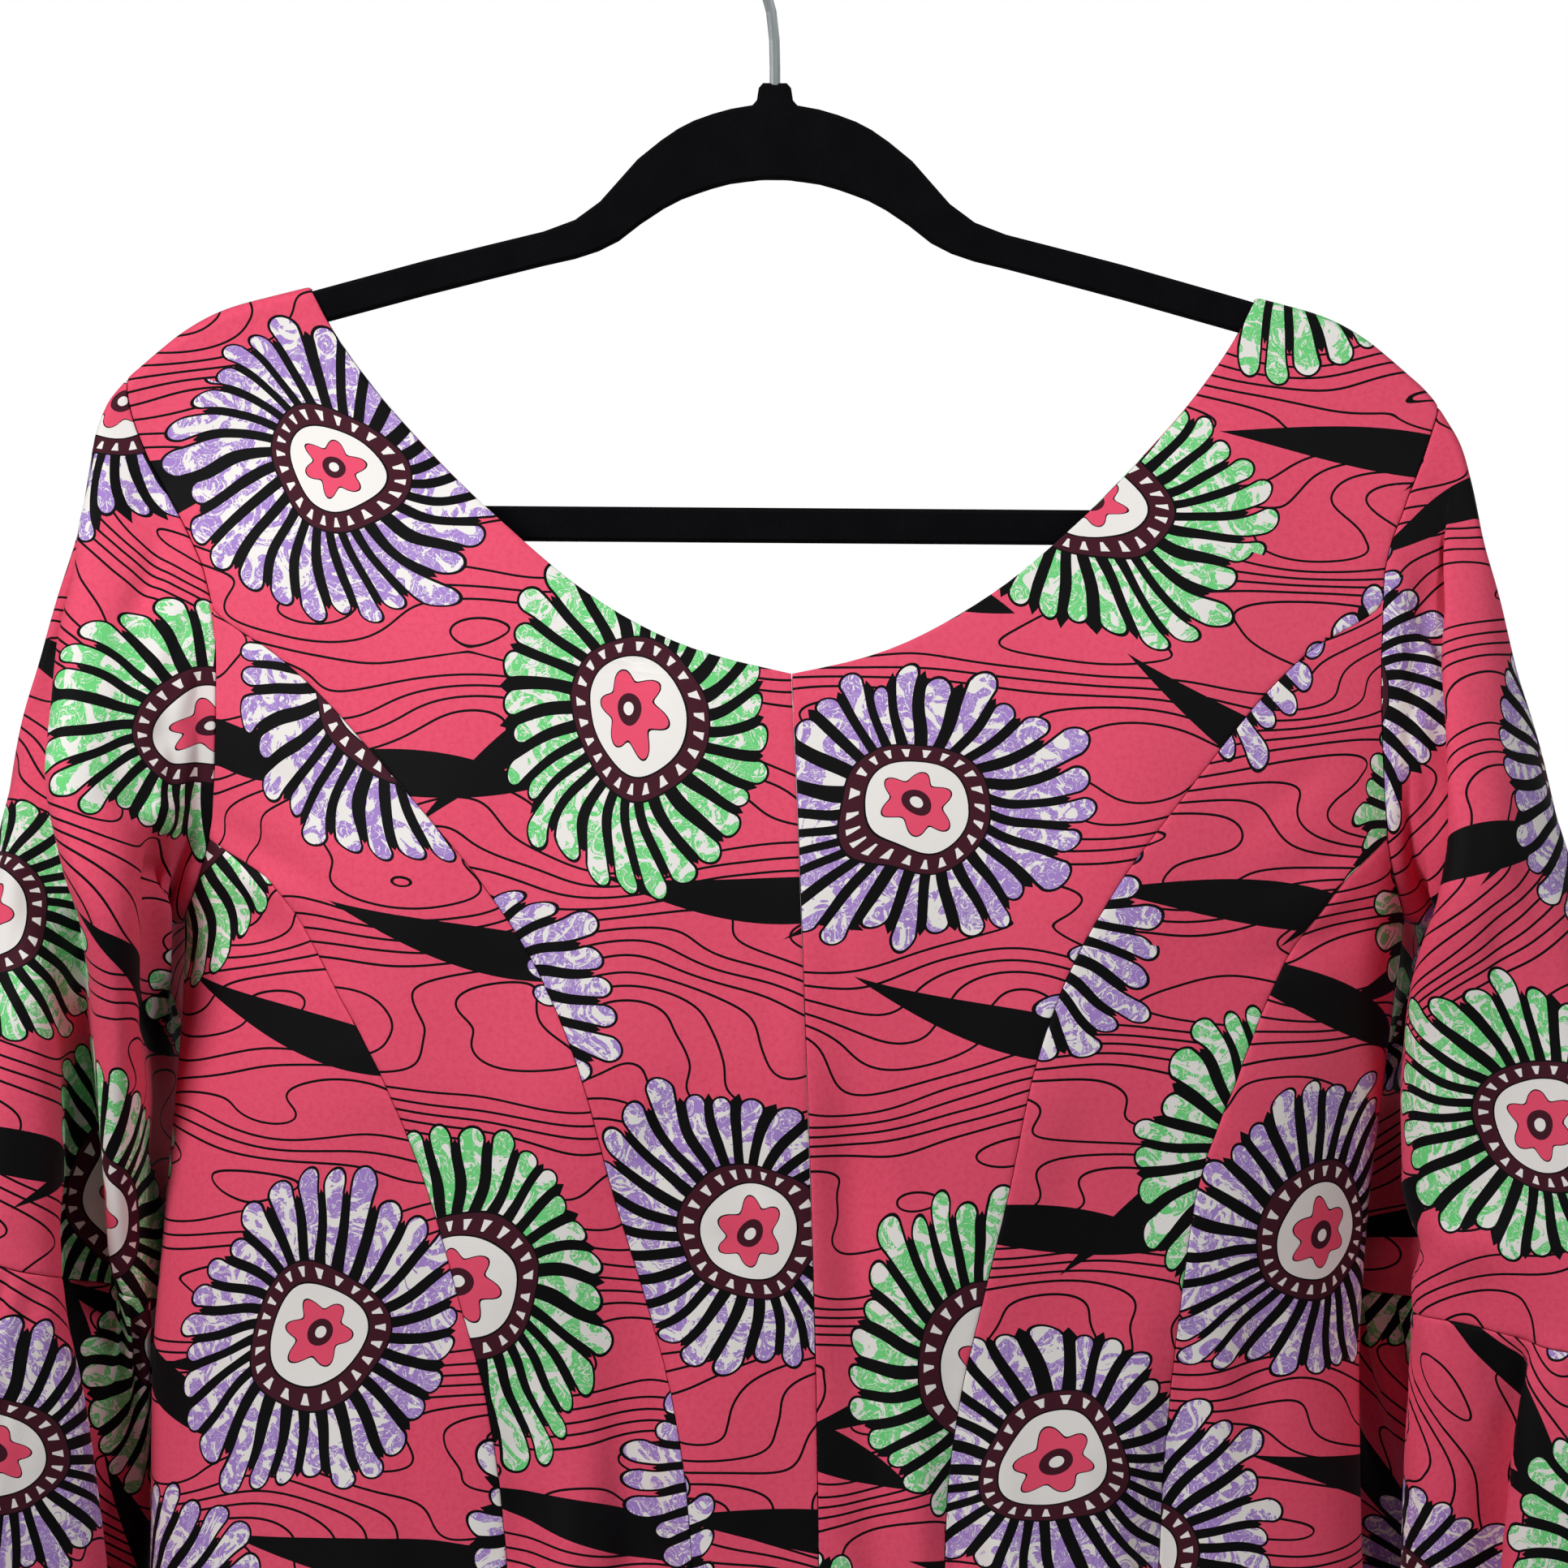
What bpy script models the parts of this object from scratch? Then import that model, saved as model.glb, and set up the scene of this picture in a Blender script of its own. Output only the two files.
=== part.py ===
"""A collarless, princess-seamed jacket top of printed cotton with bell sleeves, on a slim flocked hanger.

Metres, +Z up, front towards -Y, left is -X as seen from the front. The origin is the inside of the hook's
crown, where a rail carries the hanger. Each cloth piece is a wall between two skins: the outer skin comes from
the garment's sizes below, and the inner one lies the cloth's thickness behind it.
"""

import math

import bpy
from mathutils import Vector

CLOTH = 0.0012
SEAM_GAP = 0.0003
SEAM_SHIFT = 0.0002
SIDES = {"left": -1, "right": 1}

SHOULDER_NECK_X = 0.1515
SHOULDER_TIP_REACH = 0.2100
PRINCESS_TOP_Z = -0.2545
SIDE_PRINCESS_TOP_Z = -0.3300
UNDERARM_Z = -0.3570
HEM_Z = -0.7550

TILT = 0.0070
HANGER_THICKNESS = 0.0050
HANGER_BEVEL = 0.0012
TURN_RADIUS = 0.0044
TURN_TO_CHEST = 0.0900
BODY_SQUARENESS = 2.4

HOOK_WIRE = 0.0034
HOOK_LOOP = 0.0197
HOOK_SOCKET_DEPTH = 0.0060

LEVEL_OUT = 3
COLUMNS = {"centre": 6, "middle": 4, "side": 5}
SLEEVE_RINGS = (0, 0.035, 0.09, 0.17, 0.28, 0.4, 0.53, 0.66, 0.78, 0.89, 1)
FLOUNCE_RINGS = (0, 0.1, 0.28, 0.5, 0.75, 1)
FLOUNCE_WAVES = 7


def smooth_curve(keys, values):
    """A curve through the points that doesn't overshoot them, with steady ends."""
    steps = [b - a for a, b in zip(keys, keys[1:])]
    slopes = [(b - a) / step for a, b, step in zip(values, values[1:], steps)]
    tangents = [slopes[0]]
    for before, after in zip(slopes, slopes[1:]):
        same_way = before * after > 0
        tangents.append(2 * before * after / (before + after) if same_way else 0.0)
    tangents.append(slopes[-1])

    def read(key):
        key = min(max(key, keys[0]), keys[-1])
        i = max(k for k in range(len(steps)) if k == 0 or keys[k] <= key)
        t = (key - keys[i]) / steps[i]
        return (
            values[i] * (1 + 2 * t) * (1 - t) ** 2
            + values[i + 1] * t * t * (3 - 2 * t)
            + tangents[i] * steps[i] * t * (1 - t) ** 2
            - tangents[i + 1] * steps[i] * t * t * (1 - t)
        )

    return read


class Table:
    """Rows of sizes under named columns. Each column is read as a smooth curve of the first one."""

    def __init__(self, names, rows):
        keys = sorted(row[0] for row in rows)
        ordered = sorted(rows)
        for column, name in enumerate(names.split()[1:], 1):
            setattr(self, name, smooth_curve(keys, [row[column] for row in ordered]))


SHOULDER = Table(
    "reach z",
    (
        (0.1300, -0.1490),
        (0.1515, -0.1548),
        (0.1620, -0.1575),
        (0.1720, -0.1602),
        (0.1770, -0.1620),
        (0.1820, -0.1643),
        (0.1900, -0.1692),
        (0.1970, -0.1748),
        (0.2030, -0.1800),
        (0.2075, -0.1840),
        (0.2125, -0.1900),
        (0.2180, -0.2010),
    ),
)

BODY = Table(
    "z centre half_width front back",
    (
        (-0.1500, 0.0025, 0.2200, 0.012, 0.012),
        (-0.1900, 0.0025, 0.2165, 0.018, 0.018),
        (-0.2300, 0.0050, 0.2120, 0.032, 0.030),
        (-0.2700, 0.0075, 0.2065, 0.045, 0.040),
        (-0.3100, 0.0075, 0.2005, 0.054, 0.046),
        (-0.3570, 0.0062, 0.1950, 0.060, 0.049),
        (-0.4000, 0.0025, 0.1932, 0.060, 0.050),
        (-0.4500, -0.0028, 0.1925, 0.056, 0.049),
        (-0.5050, -0.0062, 0.1932, 0.052, 0.048),
        (-0.5650, -0.0060, 0.1940, 0.052, 0.050),
        (-0.6200, -0.0045, 0.1970, 0.058, 0.056),
        (-0.6900, -0.0030, 0.2030, 0.067, 0.064),
        (-0.7550, -0.0020, 0.2090, 0.075, 0.072),
    ),
)

SEAMS = Table(
    "z centre_front princess left_side right_side",
    (
        (-0.1500, 0.0025, 0.2100, 0.2100, 0.2100),
        (-0.2545, 0.0045, 0.1885, 0.2000, 0.2000),
        (-0.2700, 0.0050, 0.1645, 0.1990, 0.1990),
        (-0.2850, 0.0056, 0.1480, 0.1980, 0.1980),
        (-0.2980, 0.0062, 0.1365, 0.1970, 0.1970),
        (-0.3230, 0.0073, 0.1155, 0.1900, 0.1900),
        (-0.3440, 0.0080, 0.0990, 0.1660, 0.1710),
        (-0.3720, 0.0090, 0.0823, 0.1490, 0.1497),
        (-0.4030, 0.0100, 0.0705, 0.1332, 0.1355),
        (-0.4410, 0.0113, 0.0615, 0.1195, 0.1207),
        (-0.4750, 0.0123, 0.0525, 0.1105, 0.1150),
        (-0.5050, 0.0130, 0.0452, 0.1032, 0.1118),
        (-0.5370, 0.0135, 0.0408, 0.0995, 0.1098),
        (-0.5650, 0.0138, 0.0396, 0.0982, 0.1094),
        (-0.6200, 0.0138, 0.0450, 0.1055, 0.1170),
        (-0.6900, 0.0130, 0.0565, 0.1220, 0.1330),
        (-0.7550, 0.0120, 0.0680, 0.1360, 0.1470),
    ),
)

ARMHOLE = Table(
    "z reach",
    (
        (-0.1800, 0.2110),
        (-0.1900, 0.2095),
        (-0.2060, 0.2045),
        (-0.2235, 0.1965),
        (-0.2425, 0.1885),
        (-0.2545, 0.1860),
        (-0.2700, 0.1843),
        (-0.2900, 0.1838),
        (-0.3080, 0.1842),
        (-0.3200, 0.1850),
        (-0.3300, 0.1863),
        (-0.3400, 0.1886),
        (-0.3480, 0.1915),
        (-0.3570, 0.1950),
    ),
)

NECKLINE = Table(
    "share half_width z",
    (
        (0.00, 0.1515, -0.1550),
        (0.15, 0.1448, -0.1680),
        (0.30, 0.1315, -0.1870),
        (0.45, 0.1150, -0.2058),
        (0.60, 0.0915, -0.2290),
        (0.75, 0.0637, -0.2520),
        (0.88, 0.0352, -0.2682),
        (0.94, 0.0201, -0.2733),
        (1.00, 0.0000, -0.2777),
    ),
)

YOKE_SHARES = (0, 0.004, 0.012, 0.025, 0.05, 0.1, 0.2, 0.31, 0.43, 0.54, 0.65)
YOKE_END = YOKE_SHARES[-1]
BELOW_YOKE = ((0.76, -0.2660), (0.86, -0.2755), (0.94, -0.2840), (1.00, -0.2920))
LOWER_ROWS = (
    *(-0.310, -0.332, -0.355, -0.380, -0.410, -0.440, -0.470, -0.500),
    *(-0.530, -0.560, -0.600, -0.640, -0.680, -0.720, HEM_Z),
)
SEAM_ROWS = (PRINCESS_TOP_Z, *(z for _, z in BELOW_YOKE), *LOWER_ROWS)

HANGER_EDGE = (
    # outer x, outer z, inner x, inner z: from the nub's middle, along the arm and back along the bar
    (0.0000, -0.0880, 0.0000, -0.1189),
    (0.0038, -0.0880, 0.0030, -0.1189),
    (0.0052, -0.0896, 0.0050, -0.1190),
    (0.0058, -0.0935, 0.0070, -0.1193),
    (0.0072, -0.0951, 0.0090, -0.1195),
    (0.0140, -0.0963, 0.0145, -0.1203),
    (0.0200, -0.0980, 0.0200, -0.1218),
    (0.0260, -0.1002, 0.0250, -0.1235),
    (0.0310, -0.1028, 0.0300, -0.1254),
    (0.0365, -0.1066, 0.0355, -0.1283),
    (0.0440, -0.1127, 0.0430, -0.1333),
    (0.0500, -0.1195, 0.0500, -0.1388),
    (0.0560, -0.1263, 0.0565, -0.1421),
    (0.0640, -0.1322, 0.0640, -0.1446),
    (0.0740, -0.1360, 0.0740, -0.1469),
    (0.0920, -0.1405, 0.0920, -0.1515),
    (0.1120, -0.1456, 0.1120, -0.1567),
    (0.1500, -0.1562, 0.1500, -0.1672),
    (0.1720, -0.1627, 0.1700, -0.1730),
    (0.1820, -0.1674, 0.1790, -0.1766),
    (0.1900, -0.1728, 0.1855, -0.1811),
    (0.1970, -0.1793, 0.1900, -0.1873),
    (0.2020, -0.1862, 0.1925, -0.1941),
    (0.2045, -0.1960, 0.1930, -0.2030),
    (0.2050, -0.2100, 0.1925, -0.2110),
    (0.2035, -0.2230, 0.1895, -0.2180),
    (0.1990, -0.2310, 0.1850, -0.2223),
    (0.1915, -0.2347, 0.1790, -0.2240),
    (0.1780, -0.2352, 0.1700, -0.2240),
    (0.0900, -0.2352, 0.0900, -0.2240),
    (0.0000, -0.2352, 0.0000, -0.2240),
)

FRONT_FOLDS = (
    # top x, top z, bottom x, bottom z, depth, half width, share of its length where it is deepest
    (-0.055, -0.430, -0.029, -0.640, 0.0075, 0.0110, 0.75),
    (0.028, -0.475, 0.037, -0.640, 0.0070, 0.0090, 0.70),
    (-0.104, -0.470, -0.090, -0.680, 0.0040, 0.0140, 0.70),
    (0.126, -0.460, 0.128, -0.680, 0.0040, 0.0140, 0.70),
    (-0.188, -0.352, -0.118, -0.372, 0.0030, 0.0080, 0.25),
    (0.196, -0.352, 0.132, -0.375, 0.0030, 0.0080, 0.25),
)
BACK_FOLDS = (
    (-0.050, -0.440, -0.034, -0.650, 0.0060, 0.0110, 0.70),
    (0.062, -0.450, 0.046, -0.650, 0.0065, 0.0110, 0.70),
    (-0.118, -0.470, -0.108, -0.690, 0.0040, 0.0140, 0.70),
    (0.116, -0.465, 0.112, -0.690, 0.0045, 0.0140, 0.70),
    (-0.186, -0.352, -0.112, -0.378, 0.0030, 0.0080, 0.25),
    (0.194, -0.354, 0.118, -0.378, 0.0030, 0.0080, 0.25),
)
FLUTE_START_Z = -0.520
FLUTE_HEIGHT = {"centre": 0.0070, "middle": 0.0105, "side": 0.0080}

SLEEVES = {
    "left": Table(
        "share outer_x outer_z inner_x inner_z inner_y half_depth fold_turn fold_depth lobe_shift",
        (
            (0.00, 0.2078, -0.1850, 0.1890, -0.3570, 0.000, 0.0240, 66, 0.0000, 0.0000),
            (0.05, 0.2135, -0.1925, 0.1945, -0.3585, 0.000, 0.0262, 66, 0.0016, 0.0006),
            (0.15, 0.2205, -0.2150, 0.1965, -0.3650, 0.001, 0.0330, 68, 0.0060, 0.0025),
            (0.35, 0.2325, -0.2600, 0.1925, -0.3820, 0.008, 0.0440, 74, 0.0110, 0.0040),
            (0.55, 0.2430, -0.3050, 0.1900, -0.4010, 0.022, 0.0520, 84, 0.0145, 0.0035),
            (0.78, 0.2530, -0.3700, 0.1890, -0.4330, 0.035, 0.0560, 102, 0.0170, 0.0015),
            (1.00, 0.2630, -0.4500, 0.1910, -0.4790, 0.040, 0.0560, 118, 0.0175, 0.0000),
        ),
    ),
    "right": Table(
        "share outer_x outer_z inner_x inner_z inner_y half_depth fold_turn fold_depth lobe_shift",
        (
            (0.00, 0.2125, -0.1925, 0.2010, -0.3570, 0.000, 0.0240, 74, 0.0000, 0.0000),
            (0.05, 0.2190, -0.2040, 0.2065, -0.3585, 0.000, 0.0262, 80, 0.0016, 0.0010),
            (0.15, 0.2255, -0.2260, 0.2080, -0.3650, 0.001, 0.0330, 90, 0.0040, 0.0010),
            (0.35, 0.2350, -0.2680, 0.2015, -0.3820, 0.008, 0.0450, 106, 0.0090, 0.0020),
            (0.55, 0.2470, -0.3120, 0.1965, -0.4010, 0.024, 0.0540, 126, 0.0155, 0.0045),
            (0.78, 0.2640, -0.3820, 0.1835, -0.4330, 0.043, 0.0590, 142, 0.0175, 0.0065),
            (1.00, 0.2850, -0.4860, 0.1790, -0.4740, 0.047, 0.0600, 150, 0.0175, 0.0060),
        ),
    ),
}
FOLD_TURN_WIDTH = 24
LOBE_TURNS = {"left": 22, "right": -24}

FLOUNCES = {
    # hem centre x, y and z, half width, half depth, how far its inner side lies back, wave height,
    # tilt of the hem, a fold's turn
    "left": (0.2705, 0.014, -0.6900, 0.0630, 0.0720, 0.020, 0.0130, 0.010, 118),
    "right": (0.2790, 0.018, -0.6950, 0.0745, 0.0740, 0.030, 0.0130, 0.004, 150),
}


def ease(t):
    t = min(max(t, 0.0), 1.0)
    return t * t * (3 - 2 * t)


def lerp(a, b, t):
    return a + (b - a) * t


def bump(distance, half_width):
    return math.exp(-((distance / half_width) ** 2))


def pair_lerp(a, b, t):
    return (lerp(a[0], b[0], t), lerp(a[1], b[1], t))


# The body's skin: a point for each angle round the wearer and each height


def shoulder_z(x):
    return SHOULDER.z(abs(x)) - TILT * x


def angle_of(x, z):
    reach = (x - BODY.centre(z)) / BODY.half_width(z)
    return math.asin(min(max(reach, -1.0), 1.0))


def seam_angle(seam, side, z):
    if seam == "princess":
        reach = SEAMS.princess(z)
    else:
        reach = SEAMS.left_side(z) if side < 0 else SEAMS.right_side(z)
    return angle_of(SEAMS.centre_front(z) + side * reach, z)


def centre_angle(z):
    return angle_of(SEAMS.centre_front(z), z)


def fold_depth(x, z, folds):
    """How far soft troughs, each along its own line, push the cloth in."""
    depth = 0.0
    for top_x, top_z, low_x, low_z, deepest, half_width, peak in folds:
        along = Vector((low_x - top_x, low_z - top_z))
        at = Vector((x - top_x, z - top_z))
        share = at.dot(along) / along.length_squared
        if not 0 < share < 1:
            continue
        away = abs(at.x * along.y - at.y * along.x) / along.length
        rise = share / peak if share < peak else (1 - share) / (1 - peak)
        depth += deepest * ease(rise) * bump(away, half_width)
    return depth


def flute(angle, z):
    """The flare below the waist: a soft ridge down each panel between its seams."""
    swell = ease((FLUTE_START_Z - z) / (FLUTE_START_Z - HEM_Z))
    if swell == 0.0:
        return 0.0
    side = 1 if math.sin(angle) > math.sin(centre_angle(z)) else -1
    turn = math.asin(math.sin(angle)) * side
    edges = [
        side * centre_angle(z),
        side * seam_angle("princess", side, z),
        side * seam_angle("side_princess", side, z),
        math.pi / 2,
    ]
    for low, high, panel in zip(edges, edges[1:], COLUMNS):
        if turn <= high:
            share = (turn - low) / (high - low)
            return swell * FLUTE_HEIGHT[panel] * math.sin(math.pi * min(max(share, 0), 1))
    return 0.0


def body_point(angle, z):
    """The outer skin at an angle from the centre front, positive to the right, and a height."""
    sine, cosine = math.sin(angle), math.cos(angle)
    half_width = BODY.half_width(z)
    is_front = cosine > 0
    deep = BODY.front(z) if is_front else BODY.back(z)
    x = BODY.centre(z) + half_width * sine
    round_off = max(1 - abs(sine) ** BODY_SQUARENESS, 0.0) ** (1 / BODY_SQUARENESS)
    drop = max(shoulder_z(x) - z, 0.0)
    turned = TURN_RADIUS * math.sqrt(1 - (1 - min(drop / TURN_RADIUS, 1)) ** 2)
    chest = max(deep * round_off - TURN_RADIUS, 0.0) * ease(drop / TURN_TO_CHEST)
    thin = min(1.0, deep * round_off / TURN_RADIUS) if drop > TURN_TO_CHEST / 2 else 1.0
    depth = turned * thin + chest
    push = flute(angle, z) - fold_depth(x, z, FRONT_FOLDS if is_front else BACK_FOLDS) * round_off
    outward = Vector((sine / half_width, abs(cosine) / deep)).normalized()
    facing = -1 if is_front else 1
    depth = max(depth + push * outward.y, SEAM_GAP / 2 if abs(sine) < 0.999 else 0.0)
    return Vector((x + push * outward.x, facing * depth, z))


def body_normal(angle, z):
    point = body_point(angle, z)
    drop = shoulder_z(point.x) - z
    if drop < 0.0004:
        step = 0.001
        slope = (shoulder_z(point.x + step) - shoulder_z(point.x - step)) / (2 * step)
        return Vector((-slope, 0, 1)).normalized()
    turn, rise = 0.002, min(0.0005, drop * 0.5)
    across = body_point(angle + turn, z) - body_point(angle - turn, z)
    up = body_point(angle, z + rise) - body_point(angle, z - rise)
    return across.cross(up).normalized()


def moved_across(angle, z, distance):
    """The angle of a point this far along the skin at the same height."""
    step = 0.001
    across = (body_point(angle + step, z) - body_point(angle - step, z)).length / (2 * step)
    return angle + distance / across


# Panels: a grid between two seams, as angles and heights, with the first row along the shoulder or armhole


def level(z, share_left, gap):
    return z - gap * share_left**LEVEL_OUT


def seam_row_pairs(side):
    """For each seam row: the angle and height on the princess seam, the side princess seam and the side seam."""
    rows = []
    for z in SEAM_ROWS:
        left = (z - HEM_Z) / (PRINCESS_TOP_Z - HEM_Z)
        middle_z = level(z, left, PRINCESS_TOP_Z - SIDE_PRINCESS_TOP_Z)
        side_z = level(middle_z, left, SIDE_PRINCESS_TOP_Z - UNDERARM_Z)
        rows.append(
            (
                (seam_angle("princess", side, z), z),
                (seam_angle("side_princess", side, middle_z), middle_z),
                (side * math.pi / 2, side_z),
            )
        )
    first = rows[0]
    rows[0] = (armhole_at(side, PRINCESS_TOP_Z), armhole_at(side, SIDE_PRINCESS_TOP_Z), first[2])
    return rows


def armhole_at(side, z):
    if z <= UNDERARM_Z:
        return (side * math.pi / 2, UNDERARM_Z)
    return (angle_of(BODY.centre(z) + side * ARMHOLE.reach(z), z), z)


def shoulder_tip(side):
    x = BODY.centre(-0.19) + side * SHOULDER_TIP_REACH
    return (angle_of(x, shoulder_z(x)), shoulder_z(x))


def armhole_stretch(side, top_z, low_z, count):
    return [armhole_at(side, lerp(top_z, low_z, i / count)) for i in range(count + 1)]


def shoulder_row(side):
    tip_angle, tip_z = shoulder_tip(side)
    tip_x = BODY.centre(tip_z) + BODY.half_width(tip_z) * math.sin(tip_angle)
    neck_x = SEAMS.centre_front(-0.155) + side * SHOULDER_NECK_X
    row = []
    for i in range(COLUMNS["centre"] + 1):
        x = lerp(neck_x, tip_x, i / COLUMNS["centre"])
        row.append((angle_of(x, shoulder_z(x)), shoulder_z(x)))
    return row


def centre_rows(side):
    """The inner and outer ends of each row of a centre panel, which runs up to the shoulder."""
    tip = shoulder_tip(side)
    top = shoulder_row(side)
    seams = seam_row_pairs(side)
    rows = []
    for share in YOKE_SHARES:
        rows.append((neck_at(side, share, top[0]), yoke_edge_at(side, share, tip)))
    for (share, _), seam in zip(BELOW_YOKE, seams[1:]):
        rows.append((neck_at(side, share, top[0]), seam[0]))
    gap = NECKLINE.z(1) - BELOW_YOKE[-1][1]
    for seam in seams[1 + len(BELOW_YOKE) :]:
        left = (seam[0][1] - HEM_Z) / (BELOW_YOKE[-1][1] - HEM_Z)
        z = seam[0][1] + gap * left**LEVEL_OUT
        rows.append(((centre_angle(z), z), seam[0]))
    return rows


def neck_at(side, share, neck_point):
    z = NECKLINE.z(share) + (neck_point[1] - NECKLINE.z(0)) * (1 - share)
    x = SEAMS.centre_front(z) + side * NECKLINE.half_width(share)
    return neck_point if share == 0 else (angle_of(x, z), z)


def yoke_edge_at(side, share, tip):
    z = lerp(tip[1], PRINCESS_TOP_Z, share / YOKE_END)
    to_tip = SHOULDER_TIP_REACH - ARMHOLE.reach(tip[1])
    reach = ARMHOLE.reach(z) + to_tip * (1 - share / YOKE_END) ** 4
    return (angle_of(BODY.centre(z) + side * reach, z), z)


def filled(rows, top, holds):
    """Grid of angle and height between the ends of each row. Each row keeps a share of the top row's bend."""
    count = len(top) - 1
    grid = []
    for (inner, outer), hold in zip(rows, holds):
        line = []
        for i, at_top in enumerate(top):
            straight = pair_lerp(inner, outer, i / count)
            top_straight = pair_lerp(top[0], top[-1], i / count)
            bend = (at_top[0] - top_straight[0], at_top[1] - top_straight[1])
            line.append((straight[0] + hold * bend[0], straight[1] + hold * bend[1]))
        grid.append(line)
    return grid


def panel_grid(panel, side):
    if panel == "centre":
        holds = [(1 - share / YOKE_END) ** 2 for share in YOKE_SHARES]
        rows = centre_rows(side)
        return filled(rows, shoulder_row(side), holds + [0.0] * (len(rows) - len(holds)))
    seams = seam_row_pairs(side)
    if panel == "middle":
        rows = [(seam[0], seam[1]) for seam in seams]
        top = armhole_stretch(side, PRINCESS_TOP_Z, SIDE_PRINCESS_TOP_Z, COLUMNS["middle"])
    else:
        rows = [(seam[1], seam[2]) for seam in seams]
        top = armhole_stretch(side, SIDE_PRINCESS_TOP_Z, UNDERARM_Z, COLUMNS["side"])
    reach = len(BELOW_YOKE) + 2
    return filled(rows, top, [max(0.0, 1 - number / reach) ** 2 for number in range(len(rows))])


def panel_skins(panel, side, is_front):
    """The outer and inner skins of a panel, drawn in from its seams by half the gap."""
    outer, inner = [], []
    for number, line in enumerate(panel_grid(panel, side)):
        outer_row, inner_row = [], []
        for i, (angle, z) in enumerate(line):
            at_centre = i == 0 and (panel != "centre" or number >= len(YOKE_SHARES) + len(BELOW_YOKE) - 1)
            at_edge = i == len(line) - 1 and (panel != "centre" or number >= len(YOKE_SHARES) - 1)
            if at_centre or at_edge:
                angle = moved_across(angle, z, side * SEAM_SHIFT * (1 if at_centre else -1))
            turn = angle if is_front else math.pi - angle
            point, normal = body_point(turn, z), body_normal(turn, z)
            outer_row.append(point)
            inner_row.append(point - normal * CLOTH)
        outer.append(outer_row)
        inner.append(inner_row)
    return outer, inner


# Sleeves: rings from the armhole to the cuff, then a flounce of waves


def armhole_ring(side):
    """Points round the armhole with the skin's normal, from the shoulder tip down the front and up the back."""
    tip = shoulder_tip(side)
    down = [yoke_edge_at(side, share, tip) for share in YOKE_SHARES]
    down += armhole_stretch(side, PRINCESS_TOP_Z, SIDE_PRINCESS_TOP_Z, COLUMNS["middle"])[1:]
    down += armhole_stretch(side, SIDE_PRINCESS_TOP_Z, UNDERARM_Z, COLUMNS["side"])[1:]
    turns = [angle for angle, _ in down] + [math.pi - angle for angle, _ in down[-2:0:-1]]
    heights = [z for _, z in down] + [z for _, z in down[-2:0:-1]]
    points = [body_point(turn, z) for turn, z in zip(turns, heights)]
    normals = [body_normal(turn, z) for turn, z in zip(turns, heights)]
    points[0].y = 0.0
    points[len(down) - 1].y = 0.0
    return points, normals, len(down) - 1


def ring_turns(points, half):
    """The angle round the sleeve of each armhole point, by its distance along the armhole."""
    lengths = [0.0]
    for a, b in zip(points, points[1:] + points[:1]):
        lengths.append(lengths[-1] + (b - a).length)
    front = [math.pi * length / lengths[half] for length in lengths[: half + 1]]
    rest = lengths[-1] - lengths[half]
    back = [math.pi + math.pi * (length - lengths[half]) / rest for length in lengths[half + 1 : -1]]
    return front + back


def sleeve_ellipse(table, side, share, turn):
    outer = Vector((side * table.outer_x(share), -table.inner_y(share) * 0.3, table.outer_z(share)))
    inner = Vector((side * table.inner_x(share), table.inner_y(share), table.inner_z(share)))
    centre = (outer + inner) / 2
    radial = (outer - inner) / 2 * math.cos(turn)
    radial.y -= table.half_depth(share) * math.sin(turn)
    spread = table.half_depth(share) * math.sin(turn) ** 2
    radial.x += side * 0.12 * spread * ease(share)
    return centre, centre + radial


def sleeve_fold(name, side, share, turn, centre, point):
    """A deep fold, pushed in, and the lobe beside it, which leans over it."""
    table, lobe_turn = SLEEVES[name], LOBE_TURNS[name]
    away = math.degrees(turn) - table.fold_turn(share)
    depth = table.fold_depth(share) * bump(away, FOLD_TURN_WIDTH)
    back_away = math.degrees(turn) - (360 - table.fold_turn(share) + 14)
    depth += 0.5 * table.fold_depth(share) * bump(back_away, FOLD_TURN_WIDTH)
    inward = Vector((centre.x - point.x, centre.y - point.y, 0))
    lobe = bump(away - lobe_turn, FOLD_TURN_WIDTH) * math.copysign(table.lobe_shift(share), lobe_turn)
    return inward.normalized() * depth + Vector((side * lobe, 0, 0))


def sleeve_ring(name, side, share, points, turns):
    table = SLEEVES[name]
    ring = []
    for start, turn in zip(points, turns):
        centre, round_point = sleeve_ellipse(table, side, share, turn)
        _, round_start = sleeve_ellipse(table, side, 0, turn)
        from_armhole = start + round_point - round_start
        point = from_armhole.lerp(round_point, ease(share / 0.8))
        ring.append(point + sleeve_fold(name, side, share, turn, centre, point))
    return ring


def ring_normals_of(rings, side):
    """Outward normals of closed rings that run down the sleeve."""
    normals = []
    for k, ring in enumerate(rings):
        above, below = rings[max(k - 1, 0)], rings[min(k + 1, len(rings) - 1)]
        row = []
        for i in range(len(ring)):
            around = ring[(i + 1) % len(ring)] - ring[i - 1]
            down = below[i] - above[i]
            row.append(around.cross(down).normalized() * side)
        normals.append(row)
    return normals


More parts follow.
